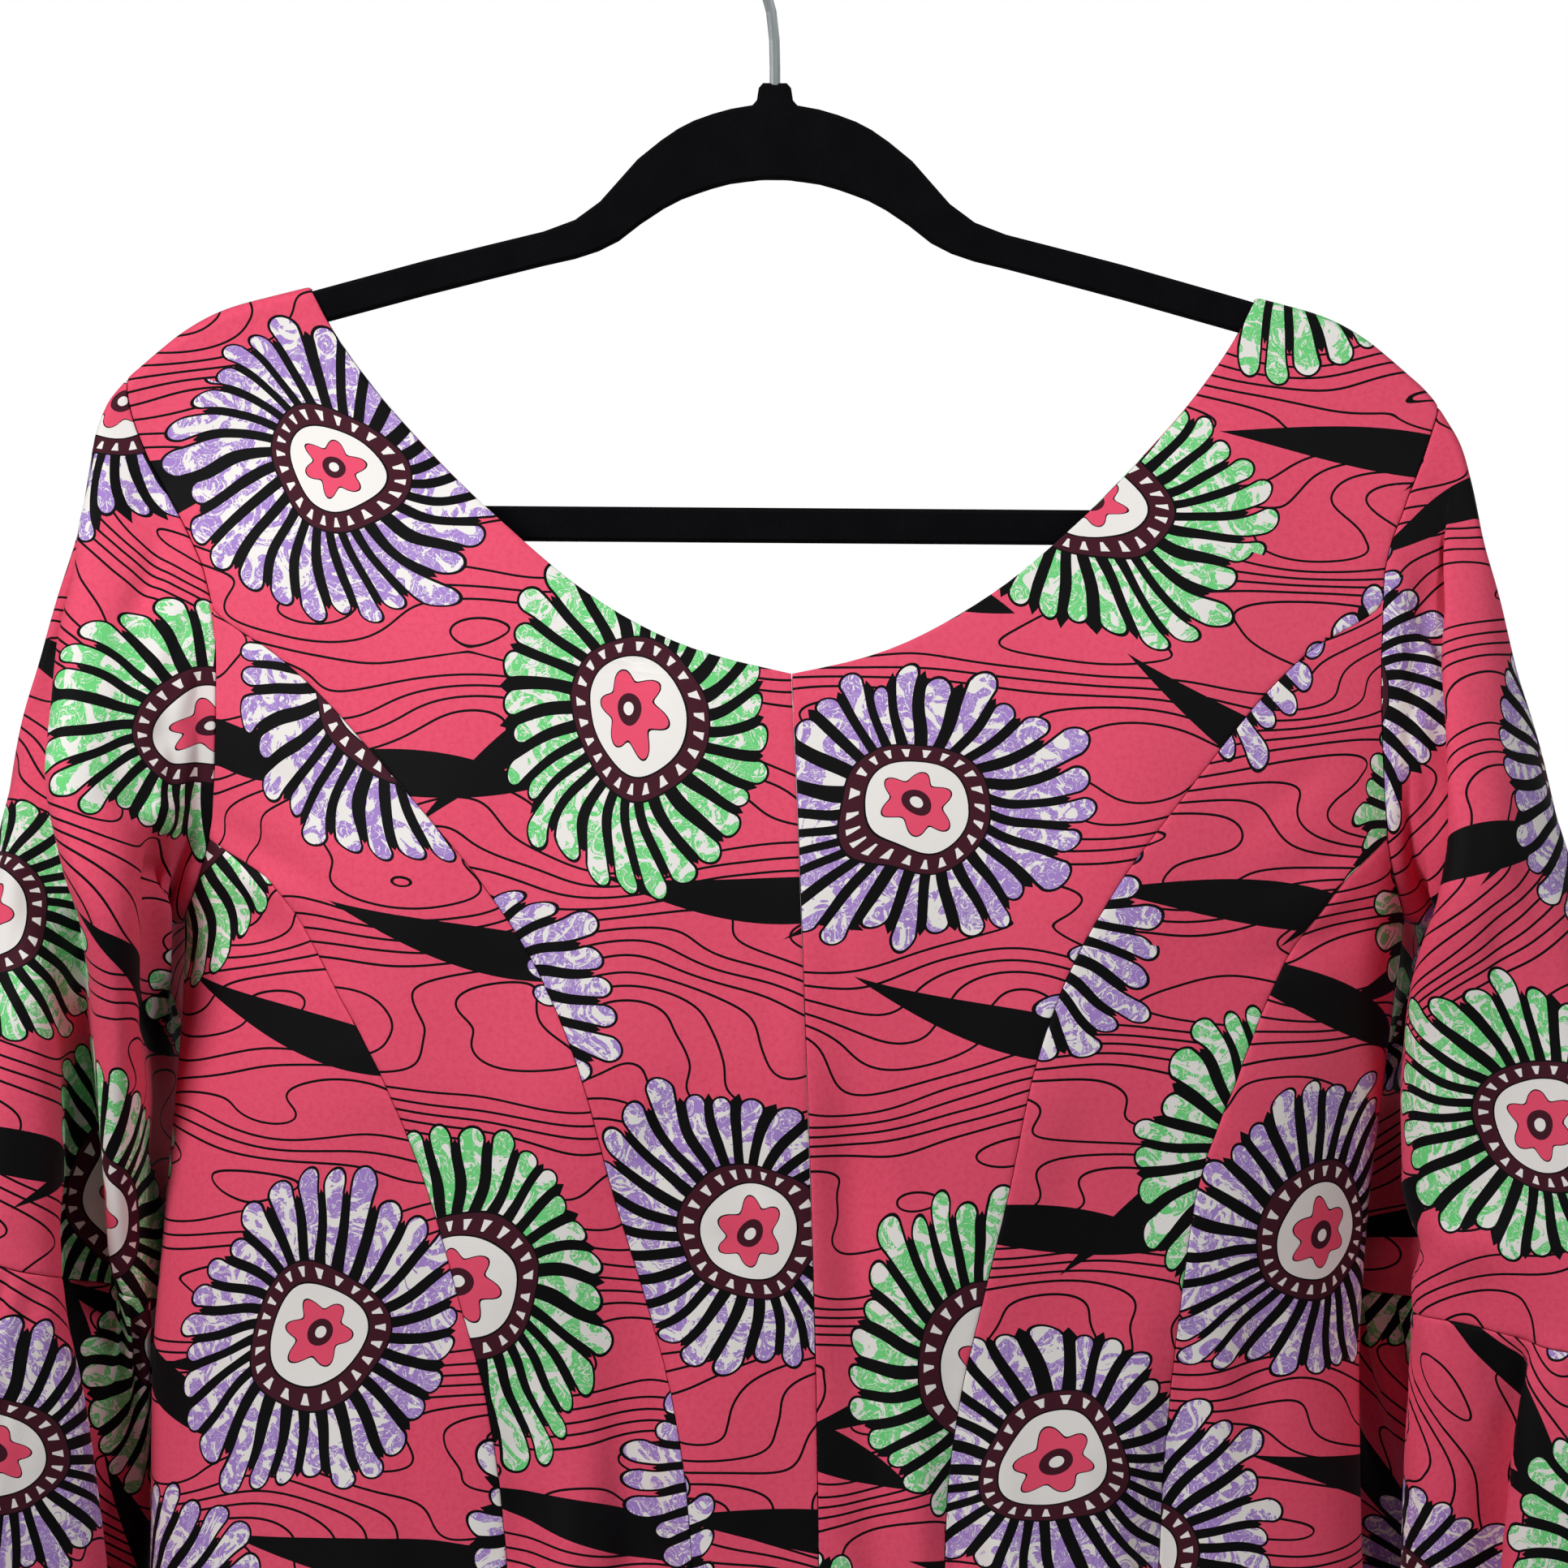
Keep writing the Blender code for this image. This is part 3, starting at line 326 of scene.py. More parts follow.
SLEEVE_FOLDS = {
    "left": (
        fold(
            FRONT,
            INNER_ON_TOP,
            0.90,
            (-0.1930, 0.2179, 0.0000, 0.0000),
            (-0.2146, 0.2192, 0.0060, 0.0040),
            (-0.2484, 0.2218, 0.0120, 0.0065),
            (-0.2861, 0.2244, 0.0160, 0.0080),
            (-0.3056, 0.2246, 0.0170, 0.0080),
            (-0.3381, 0.2210, 0.0180, 0.0058),
            (-0.3576, 0.2170, 0.0200, 0.0032),
            (-0.3836, 0.2148, 0.0210, 0.0030),
            (-0.4330, 0.2127, 0.0210, 0.0045),
            (-0.4655, 0.2106, 0.0180, 0.0040),
            (-0.4950, 0.2080, 0.0060, 0.0010),
            (-0.5200, 0.2060, 0.0000, 0.0000),
        ),
        fold(
            FRONT,
            OUTER_ON_TOP,
            0.42,
            (-0.3250, 0.2236, 0.0000, 0.0000),
            (-0.3550, 0.2240, 0.0060, 0.0008),
            (-0.3940, 0.2248, 0.0130, 0.0022),
            (-0.4330, 0.2257, 0.0170, 0.0050),
            (-0.4512, 0.2270, 0.0180, 0.0055),
            (-0.4720, 0.2262, 0.0190, 0.0065),
            (-0.5110, 0.2205, 0.0200, 0.0080),
            (-0.5630, 0.2158, 0.0200, 0.0090),
            (-0.6900, 0.2060, 0.0190, 0.0090),
        ),
        fold(
            FRONT,
            OUTER_ON_TOP,
            0.42,
            (-0.3200, 0.1980, 0.0000, 0.0000),
            (-0.3400, 0.1985, 0.0160, 0.0050),
            (-0.3750, 0.2005, 0.0210, 0.0050),
            (-0.4200, 0.1990, 0.0170, 0.0030),
            (-0.4600, 0.1990, 0.0000, 0.0000),
        ),
        fold(
            BEHIND,
            INNER_ON_TOP,
            0.42,
            (-0.2150, 0.2190, 0.0000, 0.0000),
            (-0.2900, 0.2230, 0.0080, 0.0050),
            (-0.3700, 0.2210, 0.0140, 0.0070),
            (-0.4500, 0.2230, 0.0150, 0.0070),
            (-0.5400, 0.2330, 0.0110, 0.0050),
            (-0.6000, 0.2400, 0.0000, 0.0000),
        ),
    ),
    "right": (
        fold(
            FRONT,
            OUTER_ON_TOP,
            0.60,
            (-0.2050, 0.2150, 0.0000, 0.0000),
            (-0.2380, 0.2142, 0.0060, 0.0050),
            (-0.2700, 0.2142, 0.0120, 0.0070),
            (-0.3290, 0.2142, 0.0180, 0.0080),
            (-0.3680, 0.2057, 0.0200, 0.0080),
            (-0.3900, 0.2025, 0.0230, 0.0075),
            (-0.4070, 0.2014, 0.0250, 0.0070),
            (-0.4380, 0.2012, 0.0250, 0.0070),
            (-0.4486, 0.2035, 0.0230, 0.0070),
            (-0.4590, 0.2075, 0.0210, 0.0070),
            (-0.4720, 0.2050, 0.0190, 0.0070),
            (-0.5635, 0.2033, 0.0180, 0.0080),
            (-0.6950, 0.2100, 0.0170, 0.0080),
        ),
        fold(
            FRONT,
            OUTER_ON_TOP,
            0.42,
            (-0.4850, 0.2372, 0.0000, 0.0000),
            (-0.5050, 0.2355, 0.0070, 0.0060),
            (-0.5300, 0.2342, 0.0120, 0.0080),
            (-0.5635, 0.2327, 0.0150, 0.0090),
            (-0.6950, 0.2360, 0.0180, 0.0090),
        ),
        fold(
            BEHIND,
            INNER_ON_TOP,
            0.42,
            (-0.2200, 0.2220, 0.0000, 0.0000),
            (-0.2900, 0.2260, 0.0080, 0.0050),
            (-0.3700, 0.2280, 0.0140, 0.0070),
            (-0.4500, 0.2340, 0.0160, 0.0075),
            (-0.5400, 0.2420, 0.0120, 0.0050),
            (-0.6000, 0.2480, 0.0000, 0.0000),
        ),
    ),
}
SLEEVE_CREASES = {
    # from share and turn, to share and turn, depth, half width, where deepest
    "left": (
        (0.16, 146, 0.46, 98, 0.0065, 0.0042, 0.35),
        (0.34, 165, 0.66, 120, 0.0026, 0.0045, 0.35),
        (0.12, 130, 0.40, 88, -0.0042, 0.0048, 0.45),
        (0.10, 108, 0.30, 70, 0.0020, 0.0045, 0.40),
        (0.45, 60, 0.95, 52, 0.0018, 0.0080, 0.55),
        (0.06, 30, 0.26, 24, 0.0018, 0.0040, 0.30),
        (0.05, 52, 0.22, 48, 0.0016, 0.0035, 0.30),
        (0.30, 205, 0.70, 236, 0.0022, 0.0060, 0.35),
        (0.40, 300, 0.95, 312, 0.0020, 0.0090, 0.55),
        (0.72, 140, 1.00, 146, 0.0018, 0.0050, 0.70),
    ),
    "right": (
        (0.20, 150, 0.50, 112, 0.0036, 0.0048, 0.35),
        (0.32, 168, 0.60, 136, 0.0026, 0.0045, 0.35),
        (0.50, 74, 0.98, 84, 0.0016, 0.0080, 0.60),
        (0.04, 34, 0.24, 36, 0.0020, 0.0040, 0.30),
        (0.04, 56, 0.22, 62, 0.0019, 0.0035, 0.30),
        (0.05, 14, 0.22, 10, 0.0009, 0.0035, 0.30),
        (0.30, 205, 0.70, 236, 0.0022, 0.0060, 0.35),
        (0.40, 300, 0.95, 312, 0.0020, 0.0090, 0.55),
    ),
}


def ease(t):
    t = np.clip(t, 0.0, 1.0)
    return t * t * (3 - 2 * t)


def lerp(a, b, t):
    return a + (b - a) * t


def unit(vectors):
    return vectors / np.maximum(np.linalg.norm(vectors, axis=-1, keepdims=True), 1e-12)


def walked(points):
    """How far along its line each point lies."""
    steps = np.linalg.norm(np.diff(points, axis=-2), axis=-1)
    return np.concatenate([np.zeros((*steps.shape[:-1], 1)), np.cumsum(steps, axis=-1)], axis=-1)


def stacked(*columns):
    return np.stack(np.broadcast_arrays(*columns), axis=-1)


# The body's skin: a point for each turn round the wearer and each height


def shoulder_z(x):
    return SHOULDER.z(np.abs(x)) - TILT * x


def angle_of(x, z):
    return np.arcsin(np.clip((x - BODY.centre(z)) / BODY.half_width(z), -1.0, 1.0))


def seam_x(seam, side, z):
    """Where a princess seam runs, in the picture's own left and right."""
    if seam == "princess":
        reach = SEAMS.princess(z)
    else:
        reach = SEAMS.left_side(z) if side < 0 else SEAMS.right_side(z)
    return SEAMS.centre_front(z) + side * reach


def seam_angle(seam, side, z):
    return angle_of(seam_x(seam, side, z), z)


def centre_angle(z):
    return angle_of(SEAMS.centre_front(z), z)


def along_lines(u, v, lines):
    """The depth of soft troughs, each along its own line in a plane of u and v."""
    depth = np.zeros(np.broadcast(u, v).shape)
    for top_u, top_v, low_u, low_v, deepest, half_width, peak in lines:
        way_u, way_v = low_u - top_u, low_v - top_v
        squared = way_u**2 + way_v**2
        share = ((u - top_u) * way_u + (v - top_v) * way_v) / squared
        away = np.abs((u - top_u) * way_v - (v - top_v) * way_u) / math.sqrt(squared)
        rise = np.where(share < peak, share / peak, (1 - share) / (1 - peak))
        depth = depth + deepest * ease(rise) * np.exp(-((away / half_width) ** 2))
    return depth


def flute(turn, z):
    """The flare below the waist: a soft ridge down each panel between its seams."""
    swell = ease((FLUTE_START_Z - z) / (FLUTE_START_Z - HEM_Z))
    sine = np.sin(turn)
    folded = np.arcsin(np.clip(sine, -1, 1))
    height = np.zeros(np.broadcast(turn, z).shape)
    for side in SIDES.values():
        on_side = side * (sine - np.sin(centre_angle(z))) > 0
        edges = [
            side * centre_angle(z),
            side * seam_angle("princess", side, z),
            side * seam_angle("side_princess", side, z),
            math.pi / 2,
        ]
        for low, high, tall in zip(edges, edges[1:], FLUTE_HEIGHT.values()):
            share = (side * folded - low) / (high - low)
            inside = on_side & (share >= 0) & (share <= 1)
            height = height + np.where(inside, tall * np.sin(math.pi * np.clip(share, 0, 1)), 0)
    return swell * height


def body_point(turn, z):
    """The outer skin at a turn from the centre front, positive to the right, and a height."""
    turn, z = np.broadcast_arrays(turn, z)
    sine, cosine = np.sin(turn), np.cos(turn)
    half_width = BODY.half_width(z)
    is_front = cosine > 0
    deep = np.where(is_front, BODY.front(z), BODY.back(z))
    x = BODY.centre(z) + half_width * sine
    round_off = np.maximum(1 - np.abs(sine) ** BODY_SQUARENESS, 0.0) ** (1 / BODY_SQUARENESS)
    drop = np.maximum(shoulder_z(x) - z, 0.0)
    turned = TURN_RADIUS * np.sqrt(1 - (1 - np.minimum(drop / TURN_RADIUS, 1)) ** 2)
    chest = np.maximum(deep * round_off - TURN_RADIUS, 0.0) * ease(drop / TURN_TO_CHEST)
    thin = np.where(drop > TURN_TO_CHEST / 2, np.minimum(1.0, deep * round_off / TURN_RADIUS), 1.0)
    depth = turned * thin + chest
    folds = np.where(is_front, along_lines(x, z, FRONT_FOLDS), along_lines(x, z, BACK_FOLDS))
    push = flute(turn, z) - folds * round_off
    outward = unit(stacked(sine / half_width, np.abs(cosine) / deep))
    depth = np.maximum(depth + push * outward[..., 1], 0.0)
    return stacked(x + push * outward[..., 0], np.where(is_front, -depth, depth), z)


# Steps over which slopes are read: in x or turn, in turn for a normal, and in height
STEP, TURN_STEP, RISE_STEP = 0.001, 0.002, 0.0005
TOP_STRIP = 0.0004


def body_normal(turn, z):
    """The skin's own normal, and at the shoulder's top the normal of its slope."""
    turn, z = np.broadcast_arrays(turn, z)
    point = body_point(turn, z)
    drop = shoulder_z(point[..., 0]) - z
    slope = (shoulder_z(point[..., 0] + STEP) - shoulder_z(point[..., 0] - STEP)) / (2 * STEP)
    at_top = unit(stacked(-slope, 0.0, 1.0))
    rise = np.clip(drop * 0.5, 1e-6, RISE_STEP)
    across = body_point(turn + TURN_STEP, z) - body_point(turn - TURN_STEP, z)
    up = body_point(turn, z + rise) - body_point(turn, z - rise)
    return np.where((drop < TOP_STRIP)[..., None], at_top, unit(np.cross(across, up)))


PUCKER_HEIGHT, PUCKER_REACH, PUCKER_SLANT = 0.00032, 0.0065, 0.3
PUCKER_DRIFT, PUCKER_DRIFT_RUN = 1.7, 0.037
# The cloth's unevenness: broad swells that weave on their way down, and a slanting wave over them
UNEVENNESS = 0.0010
SWELL_ACROSS, SWELL_DOWN, SWELL_SHIFT = 0.0185, 0.0410, 0.7
SWELL_WEAVE, SWELL_WEAVE_RUN = 1.3, 0.048
SLANT_SHARE, SLANT_ACROSS, SLANT_DOWN, SLANT_SHIFT = 0.7, 0.0115, 0.0360, 2.0
# Below the shoulder, where creases and puckers start and over what drop they grow to their full height
SETTLE_START, SETTLE_RUN = 0.010, 0.050
SIDE_CALM = 0.05


def puckers(x, z):
    """Small ripples that the stitching draws up along the seams, strongest at the seam."""
    height = np.zeros(np.broadcast(x, z).shape)
    # each seam's place, strength, phase and pitch
    seams = [(SEAMS.centre_front(z), 0.6, 0.3, 0.0165)]
    for side in SIDES.values():
        seams.append((seam_x("princess", side, z), 1.0, 1.1 + side, 0.0140))
        seams.append((seam_x("side_princess", side, z), 0.8, 2.3 - side, 0.0155))
    drift = PUCKER_DRIFT * np.sin(z / PUCKER_DRIFT_RUN)
    for seam, strength, phase, pitch in seams:
        away = np.abs(x - seam)
        ripple = np.sin(2 * math.pi * (z + PUCKER_SLANT * away) / pitch + phase + drift)
        height = height + strength * PUCKER_HEIGHT * ripple * np.exp(-away / PUCKER_REACH)
    return height


def undulation(x, z):
    """The slow unevenness of hanging cloth."""
    weave = SWELL_WEAVE * np.sin(z / SWELL_WEAVE_RUN)
    swell = np.sin(x / SWELL_ACROSS + weave) * np.sin(z / SWELL_DOWN + SWELL_SHIFT)
    slanting = SLANT_SHARE * np.sin(x / SLANT_ACROSS - z / SLANT_DOWN + SLANT_SHIFT)
    return UNEVENNESS * (swell + slanting)


def skin(turn, z):
    """The dressed skin: the body's with its creases, puckers and unevenness, and the plain normals."""
    point, normal = body_point(turn, z), body_normal(turn, z)
    x = point[..., 0]
    is_front = np.cos(turn) > 0
    creases = np.where(is_front, along_lines(x, z, FRONT_CREASES), along_lines(x, z, BACK_CREASES))
    settled = ease((shoulder_z(x) - z - SETTLE_START) / SETTLE_RUN)
    side_room = np.clip(1 - np.abs(np.sin(turn)), 0, 1)
    lift = settled * (undulation(x, z) * ease(side_room / SIDE_CALM) - creases) + puckers(x, z) * settled
    return point + normal * lift[..., None], normal


def moved_across(turn, z, distance):
    """The turn of a point moved so far across the skin."""
    across = np.linalg.norm(body_point(turn + STEP, z) - body_point(turn - STEP, z), axis=-1)
    return turn + distance * 2 * STEP / across


# Panels: a grid between two seams, with finer columns beside the seams


def level(z, share_left, gap):
    """A row's height at the next seam, which starts lower by the gap, level again at the hem."""
    return z - gap * share_left**LEVEL_OUT


def armhole_at(side, z):
    reach = ARMHOLE.reach(z)
    angle = angle_of(BODY.centre(z) + side * reach, z)
    return stacked(np.where(z <= UNDERARM_Z, side * math.pi / 2, angle), z)


def seam_line(seam, side, z, top_z):
    """A seam's angle at a height, led into the armhole's edge over its first stretch."""
    to_armhole = armhole_at(side, np.array(top_z))[0] - seam_angle(seam, side, top_z)
    return seam_angle(seam, side, z) + to_armhole * np.clip(1 - (top_z - z) / SEAM_JOIN, 0, 1)


def seam_rows(side, z):
    """Each row's angle and height at the two princess seams and at the side seam."""
    left = (z - HEM_Z) / (PRINCESS_TOP_Z - HEM_Z)
    middle_z = level(z, left, PRINCESS_TOP_Z - SIDE_PRINCESS_TOP_Z)
    side_z = level(middle_z, left, SIDE_PRINCESS_TOP_Z - UNDERARM_Z)
    return (
        stacked(seam_line("princess", side, z, PRINCESS_TOP_Z), z),
        stacked(seam_line("side_princess", side, middle_z, SIDE_PRINCESS_TOP_Z), middle_z),
        stacked(np.full_like(z, side * math.pi / 2), side_z),
    )


def shoulder_tip(side):
    x = BODY.centre(SHOULDER_TIP_Z) + side * SHOULDER_TIP_REACH
    return stacked(angle_of(x, shoulder_z(x)), shoulder_z(x))


def neck_at(side, share):
    """The neckline at a share of its way from the shoulder to the centre front."""
    neck_x = SEAMS.centre_front(SHOULDER_NECK_Z) + side * SHOULDER_NECK_X
    z = NECKLINE.z(share) + (shoulder_z(neck_x) - NECKLINE.z(0)) * (1 - share)
    x = SEAMS.centre_front(z) + side * NECKLINE.half_width(share)
    return stacked(angle_of(x, z), z)


def yoke_edge_at(side, share):
    """The armhole's upper stretch, from the shoulder tip to the princess seam."""
    tip = shoulder_tip(side)
    z = lerp(tip[1], PRINCESS_TOP_Z, share / YOKE_END)
    to_tip = SHOULDER_TIP_REACH - ARMHOLE.reach(tip[1])
    reach = ARMHOLE.reach(z) + to_tip * (1 - share / YOKE_END) ** 4
    return stacked(angle_of(BODY.centre(z) + side * reach, z), z)


def shoulder_at(side, share):
    """The shoulder seam at a share of its way from the neck to the tip."""
    tip = shoulder_tip(side)
    tip_x = BODY.centre(tip[1]) + BODY.half_width(tip[1]) * np.sin(tip[0])
    x = lerp(SEAMS.centre_front(SHOULDER_NECK_Z) + side * SHOULDER_NECK_X, tip_x, share)
    return stacked(angle_of(x, shoulder_z(x)), shoulder_z(x))


# The rows of a panel, which lie closer together near its edges
EDGE_STEPS = np.array((0, 0.35, 0.8, 1.5, 2.6, 4.4)) * MM
HEM_BAND = 0.006
YOKE_ROWS = YOKE_END * np.linspace(0, 1, 62) ** 1.5
SCOOP_ROWS = np.linspace(YOKE_END, 1, 15)[1:]
UNDER_YOKE_ROWS = np.linspace(0.71, 1, 9)
LOWER_Z = np.concatenate([np.linspace(BELOW_YOKE_END_Z, HEM_Z + HEM_BAND, 94), HEM_Z + EDGE_STEPS[::-1]])
FLAT_COLUMNS = {"centre": 26, "middle": 20, "side": 22}


def seam_heights():
    return np.concatenate([PRINCESS_TOP_Z - EDGE_STEPS, BELOW_YOKE.z(UNDER_YOKE_ROWS), LOWER_Z[1:]])


def centre_rows(side):
    """Both ends of each row, how much of the shoulder's bend the row keeps, and the neckline's row count."""
    lower = LOWER_Z[1:]
    left = (lower - HEM_Z) / (BELOW_YOKE_END_Z - HEM_Z)
    z = lower + (NECKLINE.z(1) - BELOW_YOKE_END_Z) * left**LEVEL_OUT
    inner = [neck_at(side, YOKE_ROWS), neck_at(side, SCOOP_ROWS), stacked(centre_angle(z), z)]
    seam = [seam_rows(side, heights)[0] for heights in (BELOW_YOKE.z(SCOOP_ROWS), lower)]
    outer = [yoke_edge_at(side, YOKE_ROWS), *seam]
    hold = np.concatenate([(1 - YOKE_ROWS / YOKE_END) ** 2, np.zeros(len(SCOOP_ROWS) + len(z))])
    return np.concatenate(inner), np.concatenate(outer), hold, len(YOKE_ROWS) + len(SCOOP_ROWS)


def panel_rows(panel, side):
    """A panel's rows, as those of a centre panel, with the number of rows that end at the neckline."""
    if panel == "centre":
        return centre_rows(side)
    heights = seam_heights()
    seams = seam_rows(side, heights)
    first = 0 if panel == "middle" else 1
    hold = np.interp(heights, TOP_BEND_Z, TOP_BEND_HOLD, left=0)
    return seams[first], seams[first + 1], hold, 0


def top_at(panel, side, share):
    """A panel's top edge, whose bend its first rows follow."""
    if panel == "centre":
        return shoulder_at(side, share)
    if panel == "middle":
        return armhole_at(side, lerp(PRINCESS_TOP_Z, SIDE_PRINCESS_TOP_Z, share))
    return armhole_at(side, lerp(SIDE_PRINCESS_TOP_Z, UNDERARM_Z, share))


def column_shares(width, count):
    """Shares across a row: fixed steps beside the seams, even steps between them."""
    width = width[:, None]
    near = EDGE_STEPS[None, :] / width
    even = np.linspace(0, 1, count + 2)[None, 1:-1]
    middle = near[:, -1:] + even * (1 - 2 * near[:, -1:])
    return np.concatenate([near, middle, 1 - near[:, ::-1]], axis=1)


SEAM_DIP, SEAM_DIP_REACH = 0.00042, 0.0006


def seam_dip(distance):
    """How far the cloth turns down towards a seam or a turned edge."""
    return SEAM_DIP * np.exp(-distance / SEAM_DIP_REACH)


def panel_grid(panel, side, is_front):
    """Points, normals and flat places of a panel's outer skin."""
    inner, outer, hold, neck_rows = panel_rows(panel, side)
    ends = [body_point(*end.T) for end in (inner, outer)]
    share = column_shares(np.linalg.norm(ends[1] - ends[0], axis=1), FLAT_COLUMNS[panel])
    straight = lerp(inner[:, None], outer[:, None], share[..., None])
    top = top_at(panel, side, share)
    top_ends = [top_at(panel, side, np.array(end)) for end in (0.0, 1.0)]
    bend = top - lerp(top_ends[0], top_ends[1], share[..., None])
    grid = straight + hold[:, None, None] * bend
    angle, z = grid[..., 0], grid[..., 1]
    angle[:, 0] = moved_across(angle[:, 0], z[:, 0], side * SEAM_SHIFT)
    angle[:, -1] = moved_across(angle[:, -1], z[:, -1], -side * SEAM_SHIFT)
    turn = angle if is_front else math.pi - angle
    points, normals = skin(turn, z)
    from_inner = walked(points)
    from_outer = from_inner[:, -1:] - from_inner
    dip = seam_dip(from_inner) + seam_dip(from_outer)
    points = points - normals * dip[..., None]
    facing = 1 if is_front else -1
    flat = stacked(points[:, :1, 0] * facing + facing * side * walked(points[..., :2]), points[..., 2])
    return points, normals, flat, neck_rows


def turned_in(points, normals, flat, turn):
    """A grid with the lines of its turned edge added before its first one."""
    edge = len(EDGE_STEPS) - 1
    inward = unit(points[edge] - points[0])
    flat_way = unit(flat[edge] - flat[0])
    lines, flats = [], []
    far, before = 0.0, points[0]
    for depth, inset in np.moveaxis(turn, -1, 1):
        line = points[0] - normals[0] * depth[..., None] + inward * inset[..., None]
        far = far + np.linalg.norm(line - before, axis=-1)
        lines.append(line)
        flats.append(flat[0] - flat_way * far[..., None])
        before = line
    lines, flats = np.array(lines[::-1]), np.array(flats[::-1])
    held = np.repeat(normals[:1], len(lines), axis=0)
    return [np.concatenate(pair) for pair in ((lines, points), (held, normals), (flats, flat))]


def across(*grids):
    return [np.swapaxes(grid, 0, 1) for grid in grids]


def backwards(*grids):
    return [grid[::-1] for grid in grids]


def edge_turn(*lines):
    """A turned edge: how deep each of its lines lies under the skin and how far back, in millimetres."""
    return np.array(lines)[:, None] * MM


SEAM_TURN = edge_turn((0.30, 0.02), (0.75, 0.05), (1.5, 0.09), (2.4, 0.13))
HEM_TURN = edge_turn((0.30, -0.12), (0.75, 0.00), (0.95, 2.5), (0.95, 7.0))
SHOULDER_TURN = edge_turn((0.25, 0.02), (0.60, 0.05))
NECK_BLEND_ROWS = 3


def panel_sheet(panel, side, is_front):
    """A panel with its four edges turned in: the sides, the top and the hem."""
    points, normals, flat, neck_rows = panel_grid(panel, side, is_front)
    is_neck = ease((neck_rows - 1 - np.arange(len(points))) / NECK_BLEND_ROWS)
    grids = turned_in(*across(points, normals, flat), lerp(SEAM_TURN, HEM_TURN, is_neck[:, None]))
    grids = turned_in(*backwards(*grids), SEAM_TURN)
    grids = turned_in(*across(*backwards(*grids)), SHOULDER_TURN if panel == "centre" else SEAM_TURN)
    return backwards(*turned_in(*backwards(*grids), HEM_TURN))


# Sleeves: rings from the armhole to the cuff, then a flounce of waves and small gathers

RING_COLUMNS = 200
SLEEVE_LENGTH = 0.26
SLEEVE_GIRTH = 0.30
FLOUNCE_LENGTH = 0.21
# Shares of a section: how far its front and back bulge outwards, and how far its outer edge comes forward
SLEEVE_BULGE = 0.12
OUTER_FORWARD = 0.3
# The share down the sleeve from which its own section holds, and no longer the armhole's
OWN_SECTION = 0.8
# Where the cuff seam dips and over what spread, in the turn round the sleeve
DIP_TURN, DIP_SPREAD = 1.3, 0.8
# How far past the middle of its side a fold runs, and over what it fades, both as the turn's sine
FOLD_WRAP, FOLD_FADE = 0.15, 0.45
# The shares of the sleeve over which folds and creases grow, and over which creases fade at the cuff
FOLD_START, CREASE_START, CREASE_END = 0.10, 0.08, 0.03
# Slow ripples: their height, their pace down and round the sleeve, and how they weave and slant
SLEEVE_RIPPLE, RIPPLE_DOWN, RIPPLE_ROUND, RIPPLE_WEAVE, RIPPLE_SLANT = 0.0006, 23, 5, 5, 7
# How much of the flounce's flare eases in and out
FLARE_EASE = 0.35
# Its waves: how their spacing drifts, how their height varies, what the body takes of it, how soon it grows
WAVE_DRIFT, WAVE_VARIETY, BODY_LOSS, WAVE_GROWTH = 0.5, 0.25, 0.6, 1.1
# The flounce's calm stretch: its turn and spread in degrees, and how much of the waves it takes
CALM_TURN, CALM_SPREAD, CALMED = 118, 46, 0.8
GATHERS, GATHER_HEIGHT, GATHER_START, GATHER_LENGTH, GATHER_FADE = 37, 0.0012, 0.03, 0.17, 1.2
GATHER_DRIFT, GATHER_VARIETY = 2.2, 0.6


def edged_shares(length, count):
    """Shares down a tube, with finer rows beside its seams."""
    near = EDGE_STEPS / length
    return np.concatenate([near, np.linspace(near[-1], 1 - near[-1], count)[1:-1], 1 - near[::-1]])


SLEEVE_SHARES = edged_shares(SLEEVE_LENGTH, 151)
FLOUNCE_SHARES = edged_shares(FLOUNCE_LENGTH, 71)
ARMHOLE_POINTS = 27


def armhole_ring(side):
    """Even points round the armhole, from the shoulder tip down the front and up the back."""
    seams = (PRINCESS_TOP_Z, SIDE_PRINCESS_TOP_Z, UNDERARM_Z)
    lower = [armhole_at(side, np.linspace(*ends, ARMHOLE_POINTS)[1:]) for ends in zip(seams, seams[1:])]
    down = np.concatenate([yoke_edge_at(side, YOKE_ROWS), *lower])
    steps = np.linalg.norm(np.diff(body_point(*down.T), axis=0), axis=1)
    along = np.concatenate([[0], np.cumsum(steps)]) / steps.sum()
    share = np.linspace(0, 1, RING_COLUMNS // 2 + 1)
    down = np.stack([np.interp(share, along, part) for part in down.T], axis=-1)
    up = down[-2:0:-1]
    turns = np.concatenate([down[:, 0], math.pi - up[:, 0]])
    heights = np.concatenate([down[:, 1], up[:, 1]])
    points, normals = skin(turns, heights)
    points[(0, RING_COLUMNS // 2), 1] = 0.0
    return points, normals


def sleeve_ellipse(table, side, share, turn):
    """The middle of the sleeve's section at a share down it, and a point at a turn from its outer edge."""
    share, turn = np.broadcast_arrays(share, turn)
    inner_y = table.inner_y(share)
    outer = stacked(side * table.outer_x(share), -inner_y * OUTER_FORWARD, table.outer_z(share))
    inner = stacked(side * table.inner_x(share), inner_y, table.inner_z(share))
    centre = (outer + inner) / 2
    point = centre + (outer - inner) / 2 * np.cos(turn)[..., None]
    point[..., 1] -= table.half_depth(share) * np.sin(turn)
    spread = table.half_depth(share) * np.sin(turn) ** 2
    point[..., 0] += side * SLEEVE_BULGE * spread * ease(share)
    return centre, point


